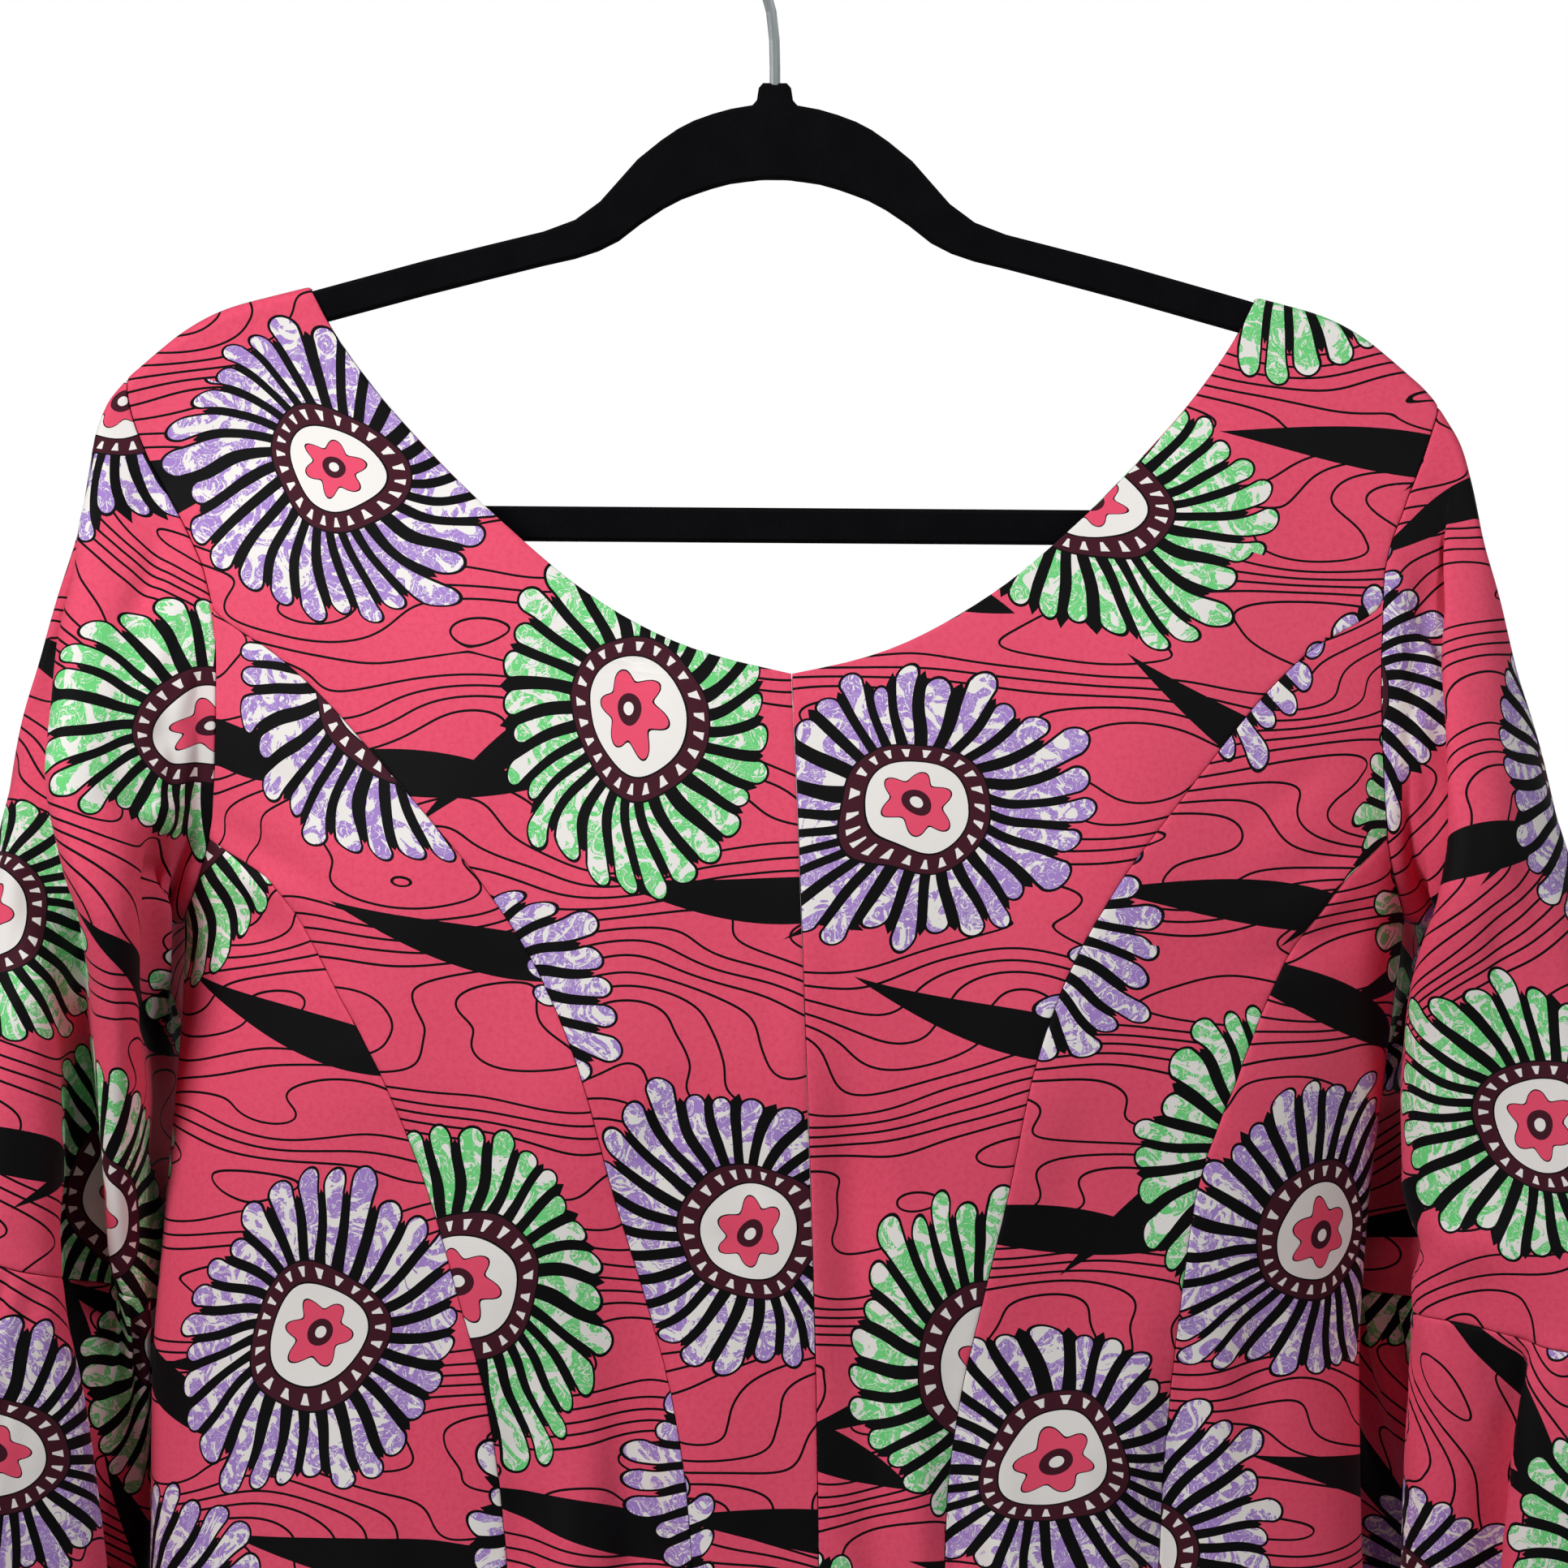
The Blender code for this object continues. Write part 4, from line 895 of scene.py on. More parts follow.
def overlapped(rings, side, turn, folds, hold):
    """Rings with each fold's upper lobe leaning over the cloth that runs in under it."""
    reach, z = side * rings[..., 0], rings[..., 2]
    moved = rings.copy()
    for facing, upper, fullness, edge in folds:
        held = ease((facing * np.sin(turn) + FOLD_WRAP) / FOLD_FADE) * hold
        away = upper * (reach - edge.reach(z))
        run = np.where(away < FOLD_VALLEY, FOLD_RUN, VALLEY_RUN)
        valley = np.exp(-(np.abs(away - FOLD_VALLEY) / run) ** FOLD_ROUNDNESS)
        ridge = np.exp(-(np.abs(away - FOLD_RIDGE) / FOLD_RUN) ** FOLD_ROUNDNESS)
        to_wall = away / FOLD_WALL
        shift = -edge.lean(z) * to_wall * np.exp(0.5 - 0.5 * to_wall**2)
        moved[..., 0] += side * upper * shift * held
        moved[..., 1] += facing * edge.depth(z) * (valley - fullness * ridge) * held
    return moved


def normals_of(rings, side):
    """Outward normals of closed rings that run down the sleeve."""
    around = np.roll(rings, -1, 1) - np.roll(rings, 1, 1)
    down = np.gradient(rings, axis=0)
    return unit(np.cross(around, down)) * side


def plain_sleeve(name, side):
    """The sleeve's rings before its folds, each point's turn round it and the armhole's normals."""
    table = SLEEVES[name]
    armhole, normals = armhole_ring(side)
    turn = np.linspace(0, 2 * math.pi, RING_COLUMNS, endpoint=False)[None, :]
    along = np.roll(armhole, -1, 0) - np.roll(armhole, 1, 0)
    outward = unit(np.cross(normals, along)) * side
    start = armhole + outward * SEAM_SHIFT * 2
    share = SLEEVE_SHARES[:, None]
    _, round_point = sleeve_ellipse(table, side, share, turn)
    _, round_start = sleeve_ellipse(table, side, 0.0, turn)
    rings = lerp(start + round_point - round_start, round_point, ease(share / OWN_SECTION)[..., None])
    rings[..., 2] -= CUFF_DIP[name] * ease(share) * np.exp(-(((turn - DIP_TURN) / DIP_SPREAD) ** 2))
    return rings, turn, normals


def sleeve_creases(name, share, turn):
    """Small creases, read in a plane of the sleeve's own lengths."""
    around = SLEEVE_GIRTH / 360
    lines = [
        (a * SLEEVE_LENGTH, b * around, c * SLEEVE_LENGTH, d * around, deep, half_width, peak)
        for a, b, c, d, deep, half_width, peak in SLEEVE_CREASES[name]
    ]
    return along_lines(share * SLEEVE_LENGTH, np.degrees(turn) * around, lines)


def sleeve_rings(name, side):
    """The dressed sleeve's rings and their normals, which start as the armhole's."""
    rings, turn, armhole_normals = plain_sleeve(name, side)
    share = SLEEVE_SHARES[:, None]
    rings = overlapped(rings, side, turn, SLEEVE_FOLDS[name], ease(share / FOLD_START))
    normals = normals_of(rings, side)
    own = normals[0]
    normals[0] = unit(lerp(own, armhole_normals, ease((own * armhole_normals).sum(-1))[..., None]))
    held = ease(share / CREASE_START) * ease((1 - share) / CREASE_END)
    ripple = SLEEVE_RIPPLE * np.sin(share * RIPPLE_DOWN + RIPPLE_WEAVE * np.sin(turn * 2))
    ripple = ripple * np.sin(turn * RIPPLE_ROUND + share * RIPPLE_SLANT)
    lift = (ripple - sleeve_creases(name, share, turn)) * held
    dip = seam_dip(share * SLEEVE_LENGTH) + seam_dip((1 - share) * SLEEVE_LENGTH)
    return rings + normals * (lift - dip)[..., None], normals


def wave_swing(share, turn, wave, wave_turn):
    """How far the flounce's waves swing in and out: less beside the body and in the calm stretch."""
    phase = FLOUNCE_WAVES * (turn - math.radians(wave_turn)) + WAVE_DRIFT * np.sin(2 * turn)
    near_body = np.maximum(-np.cos(turn), 0.0)
    calm = 1 - CALMED * np.exp(-(((np.degrees(turn) - CALM_TURN) / CALM_SPREAD) ** 2))
    uneven = 1 + WAVE_VARIETY * np.sin(3 * turn + 1) - BODY_LOSS * near_body
    return -wave * ease(share * WAVE_GROWTH) * uneven * calm * np.cos(phase)


def gathers(share, turn):
    """Small uneven gathers below the cuff seam, which die out down the flounce."""
    height = GATHER_HEIGHT * np.sin(GATHERS * turn + GATHER_DRIFT * np.sin(3 * turn))
    height = height * (1 + GATHER_VARIETY * np.sin(5 * turn + 2))
    return height * ease(share / GATHER_START) * np.exp(-((share / GATHER_LENGTH) ** GATHER_FADE))


def flounce_rings(name, side):
    """Waves that grow from the cuff seam to the hem, with gathers below the seam."""
    centre_x, centre_y, hem_z, half_width, half_depth, back, wave, tilt, wave_turn = FLOUNCES[name]
    sleeve, turn, _ = plain_sleeve(name, side)
    cuff = sleeve[-1]
    centre, _ = sleeve_ellipse(SLEEVES[name], side, 1.0, 0.0)
    share = FLOUNCE_SHARES[:, None]
    hem_middle = stacked(side * centre_x, centre_y, hem_z + tilt * np.cos(turn))
    middle = lerp(centre, hem_middle, share[..., None])
    spread_y = -half_depth * np.sin(turn) - back * np.cos(turn)
    hem = hem_middle + stacked(side * half_width * np.cos(turn), spread_y, 0.0)
    rings = lerp(cuff, hem, lerp(share, ease(share), FLARE_EASE)[..., None])
    rings[..., 2] = lerp(cuff[:, 2] - SEAM_SHIFT * 2, hem[..., 2], share)
    away = rings - middle
    away[..., 2] = 0
    away = unit(away)
    sideways = np.stack([-away[..., 1], away[..., 0], np.zeros_like(away[..., 0])], axis=-1)
    swing = wave_swing(share, turn, wave, wave_turn)[..., None]
    rings = rings + away * gathers(share, turn)[..., None] + (away + sideways * WAVE_LEAN * side) * swing
    rings = overlapped(rings, side, turn, SLEEVE_FOLDS[name], 1.0)
    normals = normals_of(rings, side)
    dip = seam_dip(share * FLOUNCE_LENGTH) + seam_dip((1 - share) * FLOUNCE_LENGTH)
    return rings - normals * dip[..., None], normals


# The cut: the cloth laid flat


def path_lengths(points, rows, columns, row_way, column_way):
    """Lengths along the sheet between coarse places, one fine step after another."""
    steps = max(abs(row_way), abs(column_way))
    down, over = row_way // steps, column_way // steps
    total = 0
    for k in range(steps):
        here = points[np.ix_(rows + down * k, columns + over * k)]
        there = points[np.ix_(rows + down * (k + 1), columns + over * (k + 1))]
        total = total + np.linalg.norm(there - here, axis=-1)
    return total


def third_corner(base, from_start, from_end):
    """The flat corner at two known distances from the ends of a base line."""
    along = (base**2 + from_start**2 - from_end**2) / (2 * base)
    return stacked(along, np.sqrt(np.maximum(from_start**2 - along**2, 1e-12)))


def flat_cells(points, rows, columns, step, handed):
    """Each coarse cell of the sheet laid flat: its four corners in a plane, about their middle."""
    first_rows, first_columns = rows[:-1], columns[:-1]
    top = path_lengths(points, first_rows, first_columns, 0, step)
    left = path_lengths(points, first_rows, first_columns, step, 0)
    right = path_lengths(points, first_rows, columns[1:], step, 0)
    falling = path_lengths(points, first_rows, first_columns, step, step)
    rising = path_lengths(points, rows[1:], first_columns, -step, step)
    low_left = third_corner(top, left, rising)
    low_right = third_corner(top, falling, right)
    cells = np.stack([np.zeros_like(low_left), stacked(top, 0.0), low_left, low_right], axis=-2)
    cells[..., 1] *= handed
    return cells - cells.mean(axis=-2, keepdims=True)


# Coarse steps first, with the rounds for each, and how far past its wanted place each corner is moved
RELAX_LEVELS = ((20, 600), (10, 400), (5, 300), (1, 60))
RELAX_PACE = 1.6


def relaxed(points, flat, step, rounds):
    """Flat places moved until each cell of the sheet keeps its own shape, as cut cloth does."""
    rows = np.arange(0, len(points), step)
    columns = np.arange(0, points.shape[1], step)
    place = flat[np.ix_(rows, columns)].copy()
    over, down = flat[0, 1] - flat[0, 0], flat[1, 0] - flat[0, 0]
    handed = np.sign(over[0] * down[1] - over[1] * down[0])
    cells = flat_cells(points, rows, columns, step, handed)
    ends = (slice(None, -1), slice(1, None))
    corners = [(a, b) for a in ends for b in ends]
    count = np.zeros((*place.shape[:2], 1))
    for corner in corners:
        count[corner] += 1
    for _ in range(rounds):
        held = np.stack([place[corner] for corner in corners], axis=-2)
        middle = held.mean(axis=-2, keepdims=True)
        held = held - middle
        cosine = (cells * held).sum(axis=(-2, -1))
        sine = (cells[..., 0] * held[..., 1] - cells[..., 1] * held[..., 0]).sum(axis=-1)
        size = np.maximum(np.hypot(cosine, sine), 1e-15)
        cosine, sine = (cosine / size)[..., None], (sine / size)[..., None]
        turned_x = cells[..., 0] * cosine - cells[..., 1] * sine
        turned_y = cells[..., 0] * sine + cells[..., 1] * cosine
        wanted = stacked(turned_x, turned_y) + middle
        total = np.zeros_like(place)
        for k, corner in enumerate(corners):
            total[corner] += wanted[..., k, :]
        place += (total / count - place) * RELAX_PACE
    change = place - flat[np.ix_(rows, columns)]
    return flat + spread(change, rows, columns, flat.shape)


def spread(change, rows, columns, shape):
    """Moves known at coarse places, read at every place between them."""
    every_row, every_column = np.arange(shape[0]), np.arange(shape[1])
    parts = []
    for part in np.moveaxis(change, -1, 0):
        wide = np.array([np.interp(every_column, columns, line) for line in part])
        parts.append(np.array([np.interp(every_row, rows, line) for line in wide.T]).T)
    return np.stack(parts, axis=-1)


def tube_sheet(rings, normals, side, end_turn):
    """A tube's grid from its inner seam round the back and the front, with flat places and turned ends."""
    half = RING_COLUMNS // 2
    order = np.concatenate([np.arange(half, RING_COLUMNS), np.arange(0, half + 1)])
    rings, normals = rings[:, order], normals[:, order]
    run = walked(rings[..., :2])
    outer = rings[:, half]
    down = walked(outer)
    flare, top_width = np.polyfit(down, run[:, -1], 1)
    radius = (top_width / flare + down)[:, None]
    angle = (run - run[:, half : half + 1]) / radius
    from_tip = radius - rings[..., 2] + outer[:, None, 2]
    flat = stacked(-side * from_tip * np.sin(angle), top_width / flare - from_tip * np.cos(angle))
    for step, rounds in RELAX_LEVELS:
        flat = relaxed(rings, flat, step, rounds)
    grids = turned_in(rings, normals, flat, SEAM_TURN)
    return backwards(*turned_in(*backwards(*grids), end_turn))


# Meshes


def quads(index):
    """The four corners of each cell of a grid of numbers."""
    return np.stack([index[:-1, :-1], index[1:, :-1], index[1:, 1:], index[:-1, 1:]], axis=-1).reshape(-1, 4)


def cloth_mesh(name, points, normals, flat, placing, closed):
    """A sheet of quads with its flat cut as a UV map, thickened inwards, and its area."""
    rows, columns = points.shape[:2]
    used = columns - 1 if closed else columns
    corners = quads(np.arange(rows)[:, None] * used + np.arange(columns)[None, :] % used)
    places = quads(np.arange(rows * columns).reshape(rows, columns))
    used_points = points[:, :used].reshape(-1, 3)
    quad = used_points[corners]
    facing = np.cross(quad[:, 2] - quad[:, 0], quad[:, 3] - quad[:, 1])
    outward = normals[:-1, :-1].reshape(-1, 3)
    if (facing * outward).sum() < 0:
        corners, places = corners[:, ::-1], places[:, ::-1]
    mesh = bpy.data.meshes.new(name)
    mesh.from_pydata(used_points.tolist(), [], corners.tolist())
    flat_x, flat_y, flat_turn = placing
    cosine, sine = math.cos(math.radians(flat_turn)), math.sin(math.radians(flat_turn))
    cut = flat.reshape(-1, 2)[places.reshape(-1)]
    cut = np.stack([cut[:, 0] * cosine - cut[:, 1] * sine, cut[:, 0] * sine + cut[:, 1] * cosine], axis=-1)
    layer = mesh.uv_layers.new(name="cut")
    layer.uv.foreach_set("vector", (cut + (flat_x, flat_y)).astype(np.float32).ravel())
    made = bpy.data.objects.new(name, mesh)
    bpy.context.collection.objects.link(made)
    mesh.shade_smooth()
    thick = made.modifiers.new("thickness", "SOLIDIFY")
    thick.thickness = SHEET
    thick.offset = -1
    thick.use_quality_normals = True
    return made, 0.5 * np.linalg.norm(facing, axis=1).sum()


# Where each piece is cut from the printed cloth: shift right, shift up, and turn in degrees
PLACINGS = {
    "front_centre_left": (0.010, 0.020, 0),
    "front_centre_right": (0.310, -0.055, 0),
    "front_middle_left": (-0.270, 0.130, 0),
    "front_middle_right": (0.620, 0.050, 0),
    "front_side_left": (-0.520, -0.080, 0),
    "front_side_right": (0.850, 0.210, 0),
    "back_centre_left": (0.130, 1.020, 0),
    "back_centre_right": (-0.210, 1.055, 0),
    "back_middle_left": (0.470, 1.130, 0),
    "back_middle_right": (-0.620, 1.050, 0),
    "back_side_left": (0.820, 0.950, 0),
    "back_side_right": (-0.950, 1.210, 0),
    "sleeve_left": (1.500, 0.030, 0),
    "sleeve_right": (2.200, 0.110, 0),
    "flounce_left": (1.500, -1.300, 4),
    "flounce_right": (2.300, -1.400, 90),
}


def cloth_piece(node, sheet, closed):
    """The cloth of one node: its mesh, its ride, the node that it replaces and its cut."""
    made, area = cloth_mesh(f"cloth_{node}", *sheet, PLACINGS[node], closed)
    flat = sheet[2].reshape(-1, 2)
    span = flat.max(axis=0) - flat.min(axis=0)
    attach(made, "root")
    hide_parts(node)


def make_body():
    for where, is_front in (("front", True), ("back", False)):
        for panel in FLAT_COLUMNS:
            for name, side in SIDES.items():
                sheet = panel_sheet(panel, side, is_front)
                cloth_piece(f"{where}_{panel}_{name}", sheet, False)


def make_sleeves():
    for name, side in SIDES.items():
        sleeve = tube_sheet(*sleeve_rings(name, side), side, SEAM_TURN)
        cloth_piece(f"sleeve_{name}", sleeve, True)
        flounce = tube_sheet(*flounce_rings(name, side), side, HEM_TURN)
        cloth_piece(f"flounce_{name}", flounce, True)


# Finishes


def linear(red, green, blue):
    """A colour as a screen shows it, 0 to 255, for a shader."""
    shares = [c / 255 for c in (red, green, blue)]
    return (*[c / 12.92 if c <= 0.04045 else ((c + 0.055) / 1.055) ** 2.4 for c in shares], 1.0)


class Wire:
    """A socket's value. Python's signs on it add Math nodes."""

    def __init__(self, paint, socket):
        self.paint, self.socket = paint, socket

    def __add__(self, other):
        return self.paint.math("ADD", self, other)

    def __sub__(self, other):
        return self.paint.math("SUBTRACT", self, other)

    def __rsub__(self, other):
        return self.paint.math("SUBTRACT", other, self)

    def __mul__(self, other):
        return self.paint.math("MULTIPLY", self, other)

    def __truediv__(self, other):
        return self.paint.math("DIVIDE", self, other)

    def __rtruediv__(self, other):
        return self.paint.math("DIVIDE", other, self)

    def __lt__(self, other):
        return self.paint.math("LESS_THAN", self, other)

    def __gt__(self, other):
        return self.paint.math("GREATER_THAN", self, other)

    def __abs__(self):
        return self.paint.math("ABSOLUTE", self)

    __radd__ = __add__
    __rmul__ = __mul__


class Paint:
    """The nodes of one material, or of the world."""

    def __init__(self, owner):
        owner.use_nodes = True
        self.owner, self.tree = owner, owner.node_tree

    def node(self, kind, settings, values, out=0):
        """A node with its settings made first and then its sockets fed. Its output is given back."""
        made = self.tree.nodes.new("ShaderNode" + kind)
        for key, value in settings.items():
            setattr(made, key, value)
        for key, value in values.items():
            self.feed(made.inputs[key], value)
        return Wire(self, made.outputs[out])

    def feed(self, socket, value):
        if isinstance(value, Wire):
            self.tree.links.new(value.socket, socket)
        else:
            socket.default_value = value

    def finish(self, **values):
        """The finished material. A low line in a socket's name stands for a space."""
        shader = self.tree.nodes["Principled BSDF"]
        for key, value in values.items():
            self.feed(shader.inputs[key.replace("_", " ")], value)
        return self.owner

    def outputs(self, wire):
        return [Wire(self, out) for out in wire.socket.node.outputs]

    def parts(self, vector):
        return self.outputs(self.node("SeparateXYZ", {}, {0: vector}))

    def math(self, operation, *values):
        return self.node("Math", {"operation": operation}, dict(enumerate(values)))

    def least(self, a, b):
        return self.math("MINIMUM", a, b)

    def most(self, a, b):
        return self.math("MAXIMUM", a, b)

    def vector(self, operation, *values):
        return self.node("VectorMath", {"operation": operation}, dict(enumerate(values)))

    def turned(self, vector, angle):
        return self.node("VectorRotate", {"rotation_type": "Z_AXIS"}, {"Vector": vector, "Angle": angle})

    def mix(self, below, above, mask):
        return self.node("Mix", {"data_type": "RGBA"}, {0: mask, 6: below, 7: above}, 2)

    def flat_noise(self, at, scale, detail=2.0, distortion=0.0, rough=0.5):
        values = {"Scale": scale, "Detail": detail, "Roughness": rough, "Distortion": distortion}
        return self.node("TexNoise", {"noise_dimensions": "2D"}, {"Vector": at, **values})

    def fine_noise(self, at, scale, detail=2.0):
        return self.node("TexNoise", {}, {"Vector": at, "Scale": scale, "Detail": detail})

    def bump(self, strength, distance, height):
        return self.node("Bump", {}, {"Strength": strength, "Distance": distance, "Height": height})


INK = linear(4, 4, 6)
MAROON = linear(66, 22, 36)
CHALK = linear(238, 234, 230)
PINK = linear(232, 80, 110)
DEEP_PINK = linear(222, 68, 98)
PALE_PINK = linear(238, 96, 124)
LEAF_GREEN = linear(112, 214, 128)
LILAC = linear(168, 134, 206)
FLOCK_SHADE = linear(4, 4, 6)
FLOCK_SHEEN = linear(19, 19, 23)
PLATING = linear(222, 230, 232)

# The print is drawn on the cut cloth, in millimetres, and a flower's sizes are radii from its middle
GRAIN_PITCH = 8.4
GRAIN_LENGTH, GRAIN_HEIGHT, GRAIN_WANDER = 74, 29, 7.8
GRAIN_STEP, GRAIN_FLATTEST = 0.5, 0.02
GRAIN_HALF_WIDTH = 0.38
MOTIF_SPACING = 122.0
MOTIF_TURN = 0.6
FLOWER_SCATTER, BLADE_SCATTER = 0.13, 0.3
FLOWER_STRETCH = 1.18
HAND_WANDER = 14.0
PETALS = 28
PETAL_ROOT, SPIKE_TIP, PETAL_TIP = 23.6, 49.0, 56.0
SPIKE_SLOPE = 1.6
PETAL_UNEVENNESS, FAN_OVAL = 8.0, 3.0
PETAL_SWIRL = 0.016
PETAL_ROUND_END = 3.4
PETAL_ROOT_HALF_WIDTH, PETAL_WIDENING = 1.15, 0.118
OUTLINE = 0.5
STROKES, STROKE_RING = 22, 20.2
STROKE_HALF_LENGTH, STROKE_HALF_WIDTH, STROKE_WIDENING = 1.7, 0.85, 0.22
EYE_EDGE, EYE = 16.9, 16.3
LOBES, LOBE_RADIUS, LOBE_DEPTH = 6, 9.6, 2.0
PUPIL, PUPIL_LIGHT = 4.4, 1.9
# Share of the motifs' spacing that a layer of blades is moved by, half length, half width and lean
BLADES = (
    (0.50, 50.0, 7.0, 0.25),
    (0.26, 38.0, 5.0, -0.45),
)
BLADE_TURN, BLADE_CURVE, BLADE_BELLY = 0.7, 0.20, 0.45
# In the noises' own values: where clouds turn white, and how near the middle a crack lies
WHITE_CLOUDS, CRACK_HALF_WIDTH = 0.535, 0.02
# How far petals run in under the ring, the spikes' room past the tips, the ring's rim and the dye's inset
ROOT_OVERLAP, TIP_ROOM, RING_RIM, DYE_INSET = 2.0, 1.0, 0.6, 0.4
# Noises over the cloth: scale per millimetre, detail, distortion and roughness
WANDER_NOISE = (0.022, 1.0)
CLOUD_NOISE = (0.095, 3.0, 1.8, 0.6)
CRACK_NOISE = (0.22, 2.0, 2.0)
HEATHER_NOISE = (0.55, 3.0, 0.0, 0.7)
SLOW_NOISE = (0.012, 1.0)
THREAD_NOISE = (1.3,)
# Deep pink grows from the heather noise's start by its gain, and pale pink is a share of the slow noise
HEATHER_START, HEATHER_GAIN, PALE_SHARE = 0.42, 3.2, 0.4


def grain_lines(paint, at):
    """Thin wandering contour lines with long level loops, of one width wherever they run."""

    def field(shift):
        x, y, _ = paint.parts(paint.vector("ADD", at, shift))
        stretched = paint.node("CombineXYZ", {}, {0: x / GRAIN_LENGTH, 1: y / GRAIN_HEIGHT})
        return y / GRAIN_PITCH + paint.flat_noise(stretched, 1.0, 0.2) * GRAIN_WANDER

    here = field((0, 0, 0))
    aside = field((GRAIN_STEP, 0, 0)) - here
    above = field((0, GRAIN_STEP, 0)) - here
    slope = paint.most(paint.math("SQRT", aside * aside + above * above) / GRAIN_STEP, GRAIN_FLATTEST)
    away = abs(paint.math("FRACT", here) - 0.5) / slope
    return away < GRAIN_HALF_WIDTH


def motifs(paint, at, moved, scatter):
    """Scattered places for a motif: the way from the nearest one, in millimetres, and its chances."""
    placed = paint.vector("ADD", paint.turned(at, MOTIF_TURN), (moved, moved, 0))
    scaled = paint.vector("MULTIPLY", placed, (1 / MOTIF_SPACING, 1 / MOTIF_SPACING, 0))
    settings = {"voronoi_dimensions": "2D", "feature": "F1"}
    cell = paint.node("TexVoronoi", settings, {"Vector": scaled, "Scale": 1.0, "Randomness": scatter})
    _, chance, middle, *_ = paint.outputs(cell)
    level = paint.turned(paint.vector("SUBTRACT", scaled, middle), -MOTIF_TURN)
    return paint.vector("MULTIPLY", level, (MOTIF_SPACING, MOTIF_SPACING, 0)), paint.parts(chance)


def polar(paint, vector, stretch):
    """The distance and the turn of a place from the middle, with its height stretched."""
    x, y, _ = paint.parts(vector)
    y = y * stretch
    return paint.math("SQRT", x * x + y * y), paint.math("ARCTAN2", y, x)


def petals(paint, far, turn, chances):
    """A ring of slender swirling petals: the distance from a petal's edge, and the dark spikes between."""
    swirl = turn + (far - PETAL_ROOT) * ((chances[2] - 0.5) * PETAL_SWIRL)
    place = swirl * (PETALS / (2 * math.pi)) + 0.5
    across = abs(paint.math("FRACT", place) - 0.5)
    number = paint.math("FLOOR", place)
    uneven = paint.node("TexWhiteNoise", {"noise_dimensions": "1D"}, {"W": number + chances[2] * 90})
    shortest = PETAL_TIP - PETAL_UNEVENNESS
    length = shortest + uneven * PETAL_UNEVENNESS + paint.math("COSINE", turn * 2) * FAN_OVAL
    half_cell = far * (math.pi / PETALS)
    side_way = across * far * (2 * math.pi / PETALS)
    along = paint.least(far, length - PETAL_ROUND_END) - PETAL_ROOT
    half_width = along * PETAL_WIDENING + PETAL_ROOT_HALF_WIDTH
    past = paint.most(far - length + PETAL_ROUND_END, 0.0)
    edge = paint.math("SQRT", side_way * side_way + past * past) - half_width
    spike = far + (half_cell - side_way) * SPIKE_SLOPE < SPIKE_TIP
    return edge, spike


def ring_strokes(paint, far, turn):
    """A ring of short strokes that point at the middle, wider at their outer ends."""
    pitch = 2 * math.pi * STROKE_RING / STROKES
    along = abs(paint.math("FRACT", turn * (STROKES / (2 * math.pi)) + 0.5) - 0.5) * pitch
    off = far - STROKE_RING
    return (along < off * STROKE_WIDENING + STROKE_HALF_WIDTH) * (abs(off) < STROKE_HALF_LENGTH)


def blades(paint, at, colour):
    """Dark curved blades that lie nearly level under the flowers."""
    for moved, reach, half_width, lean in BLADES:
        local, chances = motifs(paint, at, moved * MOTIF_SPACING, BLADE_SCATTER)
        x, y, _ = paint.parts(paint.turned(local, (chances[0] - 0.5) * BLADE_TURN + lean))
        y = y - x * x * (BLADE_CURVE / reach) * (chances[1] - 0.3)
        share = x / reach
        half = (1 - share * share) * (share * BLADE_BELLY + 1) * half_width
        colour = paint.mix(colour, INK, (abs(y) < half) * (abs(x) < reach))
    return colour


def waxed_dye(paint, at, chances):
    """Petal colour as resist dyeing leaves it: dye in cloudy patches and cracks on white."""
    dyed = paint.mix(LEAF_GREEN, LILAC, chances[1] > 0.5)
    clouds = paint.flat_noise(at, *CLOUD_NOISE)
    cracks = paint.flat_noise(at, *CRACK_NOISE)
    white = paint.most(clouds > WHITE_CLOUDS, abs(cracks - 0.5) < CRACK_HALF_WIDTH)
    return paint.mix(dyed, CHALK, white)


def flowers(paint, at, colour):
    """Round flower heads: petals with dark spikes between, a ring of strokes and an eye with lobes."""
    elsewhere = paint.vector("ADD", at, (90.0, 40.0, 0.0))
    wander = [(paint.flat_noise(place, *WANDER_NOISE) - 0.5) * HAND_WANDER for place in (at, elsewhere)]
    drawn = paint.vector("ADD", at, paint.node("CombineXYZ", {}, dict(enumerate(wander))))
    local, chances = motifs(paint, drawn, 0.0, FLOWER_SCATTER)
    far, turn = polar(paint, paint.turned(local, chances[0] * (2 * math.pi)), FLOWER_STRETCH)
    edge, spike = petals(paint, far, turn, chances)
    beyond_root = far > PETAL_ROOT - ROOT_OVERLAP
    within = far < PETAL_TIP + TIP_ROOM
    lobes = far - paint.math("COSINE", turn * LOBES) * LOBE_DEPTH - LOBE_RADIUS
    layers = (
        (INK, spike * within * beyond_root),
        (INK, (edge < OUTLINE) * beyond_root),
        (waxed_dye(paint, at, chances), (edge < -DYE_INSET) * beyond_root),
        (INK, far < PETAL_ROOT + RING_RIM),
        (MAROON, far < PETAL_ROOT),
        (CHALK, ring_strokes(paint, far, turn)),
        (INK, far < EYE_EDGE),
        (CHALK, far < EYE),
        (INK, lobes < OUTLINE),
        (PINK, lobes < 0.0),
        (MAROON, far < PUPIL),
        (CHALK, far < PUPIL_LIGHT),
    )
    for dye, mask in layers:
        colour = paint.mix(colour, dye, mask)
    return colour


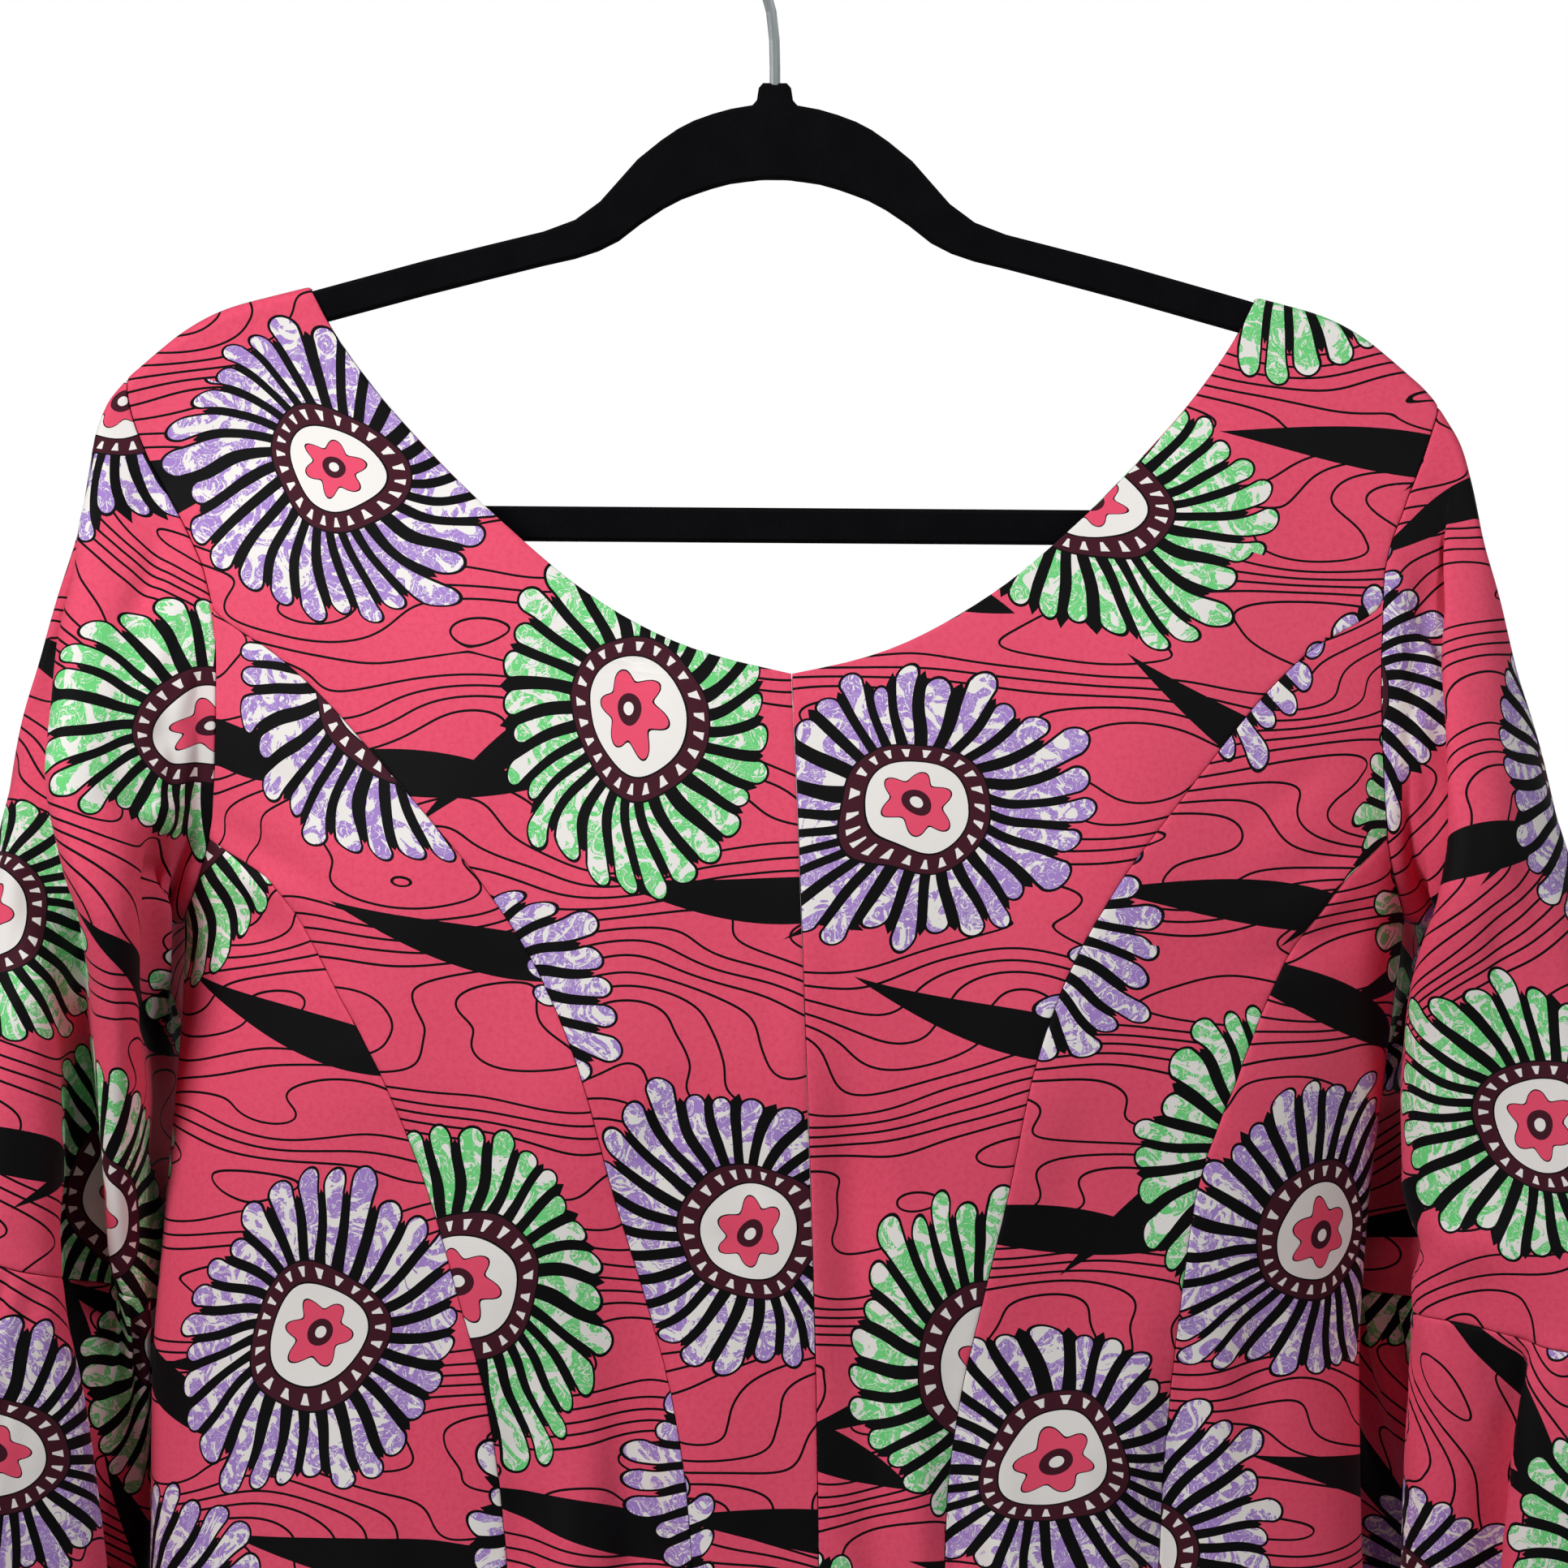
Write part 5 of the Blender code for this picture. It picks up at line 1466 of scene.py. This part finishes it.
def printed_cotton():
    paint = Paint(bpy.data.materials.new("printed_cotton"))
    cut = paint.node("UVMap", {"uv_map": "cut"}, {})
    at = paint.vector("MULTIPLY", cut, (1 / MM, 1 / MM, 0))
    heather = paint.flat_noise(at, *HEATHER_NOISE)
    slow = paint.flat_noise(at, *SLOW_NOISE)
    ground = paint.mix(PINK, DEEP_PINK, paint.most((heather - HEATHER_START) * HEATHER_GAIN, 0.0))
    ground = paint.mix(ground, PALE_PINK, slow * PALE_SHARE)
    colour = paint.mix(ground, INK, grain_lines(paint, at))
    return paint.finish(
        Base_Color=flowers(paint, at, blades(paint, at, colour)),
        Normal=paint.bump(strength=0.2, distance=0.0003, height=paint.flat_noise(at, *THREAD_NOISE)),
        Roughness=0.70,
        Sheen_Weight=0.03,
        Sheen_Roughness=0.5,
        Specular_IOR_Level=0.12,
    )


def black_flock():
    paint = Paint(bpy.data.materials.new("black_flock_pile"))
    place = paint.node("TexCoord", {}, {}, "Object")
    pile = paint.fine_noise(place, scale=1500.0)
    brushed = paint.fine_noise(place, scale=90.0, detail=3.0)
    return paint.finish(
        Base_Color=paint.mix(FLOCK_SHADE, FLOCK_SHEEN, pile * brushed),
        Normal=paint.bump(strength=0.35, distance=0.0004, height=pile),
        Roughness=1.0,
        Sheen_Weight=0.02,
        Sheen_Roughness=0.4,
        Specular_IOR_Level=0.1,
    )


def bright_wire():
    paint = Paint(bpy.data.materials.new("bright_wire_plating"))
    place = paint.node("TexCoord", {}, {}, "Object")
    long_ways = {"Vector": place, "Scale": (2600.0, 2600.0, 40.0)}
    marks = paint.fine_noise(paint.node("Mapping", {"vector_type": "POINT"}, long_ways), 1.0)
    return paint.finish(Base_Color=PLATING, Metallic=1.0, Roughness=marks * 0.12 + 0.30)


def dress_cotton():
    cotton = printed_cotton()
    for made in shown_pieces():
        if made.name.startswith("cloth_"):
            made.data.materials.append(cotton)


def dress_hanger():
    for node, finish in (("hanger_frame", black_flock()), ("hook", bright_wire())):
        for slot in bpy.data.objects[node].material_slots:
            slot.material = finish


# Light, floor and camera

WHITE = (1, 1, 1, 1)
VIEW_WIDTH = 0.5023
VIEW_DISTANCE = 2.0
VIEW_X, VIEW_Z = 0.0029, -0.3124
SENSOR = 36
FLOOR_Z = -1.08
FLOOR_RADIUS = 2.6
# How bright the room is in front of the garment and behind it, and where the one runs into the other
ROOM_LIGHT, BACKDROP_LIGHT = 0.03, 0.32
ROOM_END, BACKDROP_START = -0.15, 0.55
LIGHT_AIM = (0, 0, -0.24)
LIGHT_SIZE = 0.5
LIGHT_SPREAD = 90
# Each light's place and power
LIGHTS = {
    "key": ((-0.84, -0.97, 0.34), 4.3),
    "fill": ((0.90, -0.97, 0.34), 1.8),
}


def make_floor():
    bpy.ops.object.select_all(action="DESELECT")
    bpy.ops.mesh.primitive_circle_add(
        vertices=96, radius=FLOOR_RADIUS, fill_type="NGON", location=(0, 0, FLOOR_Z)
    )
    floor = bpy.context.object
    floor.name = "studio_floor"
    bpy.ops.object.transform_apply(location=True)
    pale = Paint(bpy.data.materials.new("pale_floor"))
    floor.data.materials.append(pale.finish(Base_Color=(0.93, 0.93, 0.93, 1), Roughness=0.9))


def make_light(name, place, power):
    data = bpy.data.lights.new(name, "AREA")
    data.shape = "DISK"
    data.size = LIGHT_SIZE
    data.energy = power
    data.spread = math.radians(LIGHT_SPREAD)
    light = bpy.data.objects.new(name, data)
    bpy.context.collection.objects.link(light)
    light.location = place
    light.visible_camera = False
    x, y, z = (b - a for a, b in zip(place, LIGHT_AIM))
    light.rotation_euler = (math.atan2(math.hypot(x, y), -z), 0, math.atan2(y, x) - math.pi / 2)


def make_room():
    """White to the camera. To the garment it is a dim room that brightens behind it."""
    paint = Paint(bpy.data.worlds.new("white_room"))
    bpy.context.scene.world = paint.owner
    _, behind, _ = paint.parts(paint.node("TexCoord", {}, {}, "Generated"))
    where = {"Value": behind, "From Min": ROOM_END, "From Max": BACKDROP_START}
    strength = paint.node("MapRange", {}, {**where, "To Min": ROOM_LIGHT, "To Max": BACKDROP_LIGHT})
    dim = paint.node("Background", {}, {"Color": WHITE, "Strength": strength})
    paint.feed(paint.tree.nodes["Background"].inputs["Color"], WHITE)
    white = Wire(paint, paint.tree.nodes["Background"].outputs[0])
    seen = paint.node("LightPath", {}, {}, "Is Camera Ray")
    shown = paint.node("MixShader", {}, {0: seen, 1: dim, 2: white})
    paint.feed(paint.tree.nodes["World Output"].inputs["Surface"], shown)


def make_camera():
    data = bpy.data.cameras.new("camera")
    data.sensor_width = SENSOR
    data.lens = SENSOR * VIEW_DISTANCE / VIEW_WIDTH
    camera = bpy.data.objects.new("camera", data)
    bpy.context.collection.objects.link(camera)
    camera.location = (VIEW_X, -VIEW_DISTANCE, VIEW_Z)
    camera.rotation_euler = (math.pi / 2, 0, 0)
    bpy.context.scene.camera = camera
    bpy.context.scene.view_settings.view_transform = "Standard"


make_body()
make_sleeves()
dress_cotton()
dress_hanger()
make_floor()
make_room()
for light_name, (light_place, light_power) in LIGHTS.items():
    make_light(light_name, light_place, light_power)
make_camera()
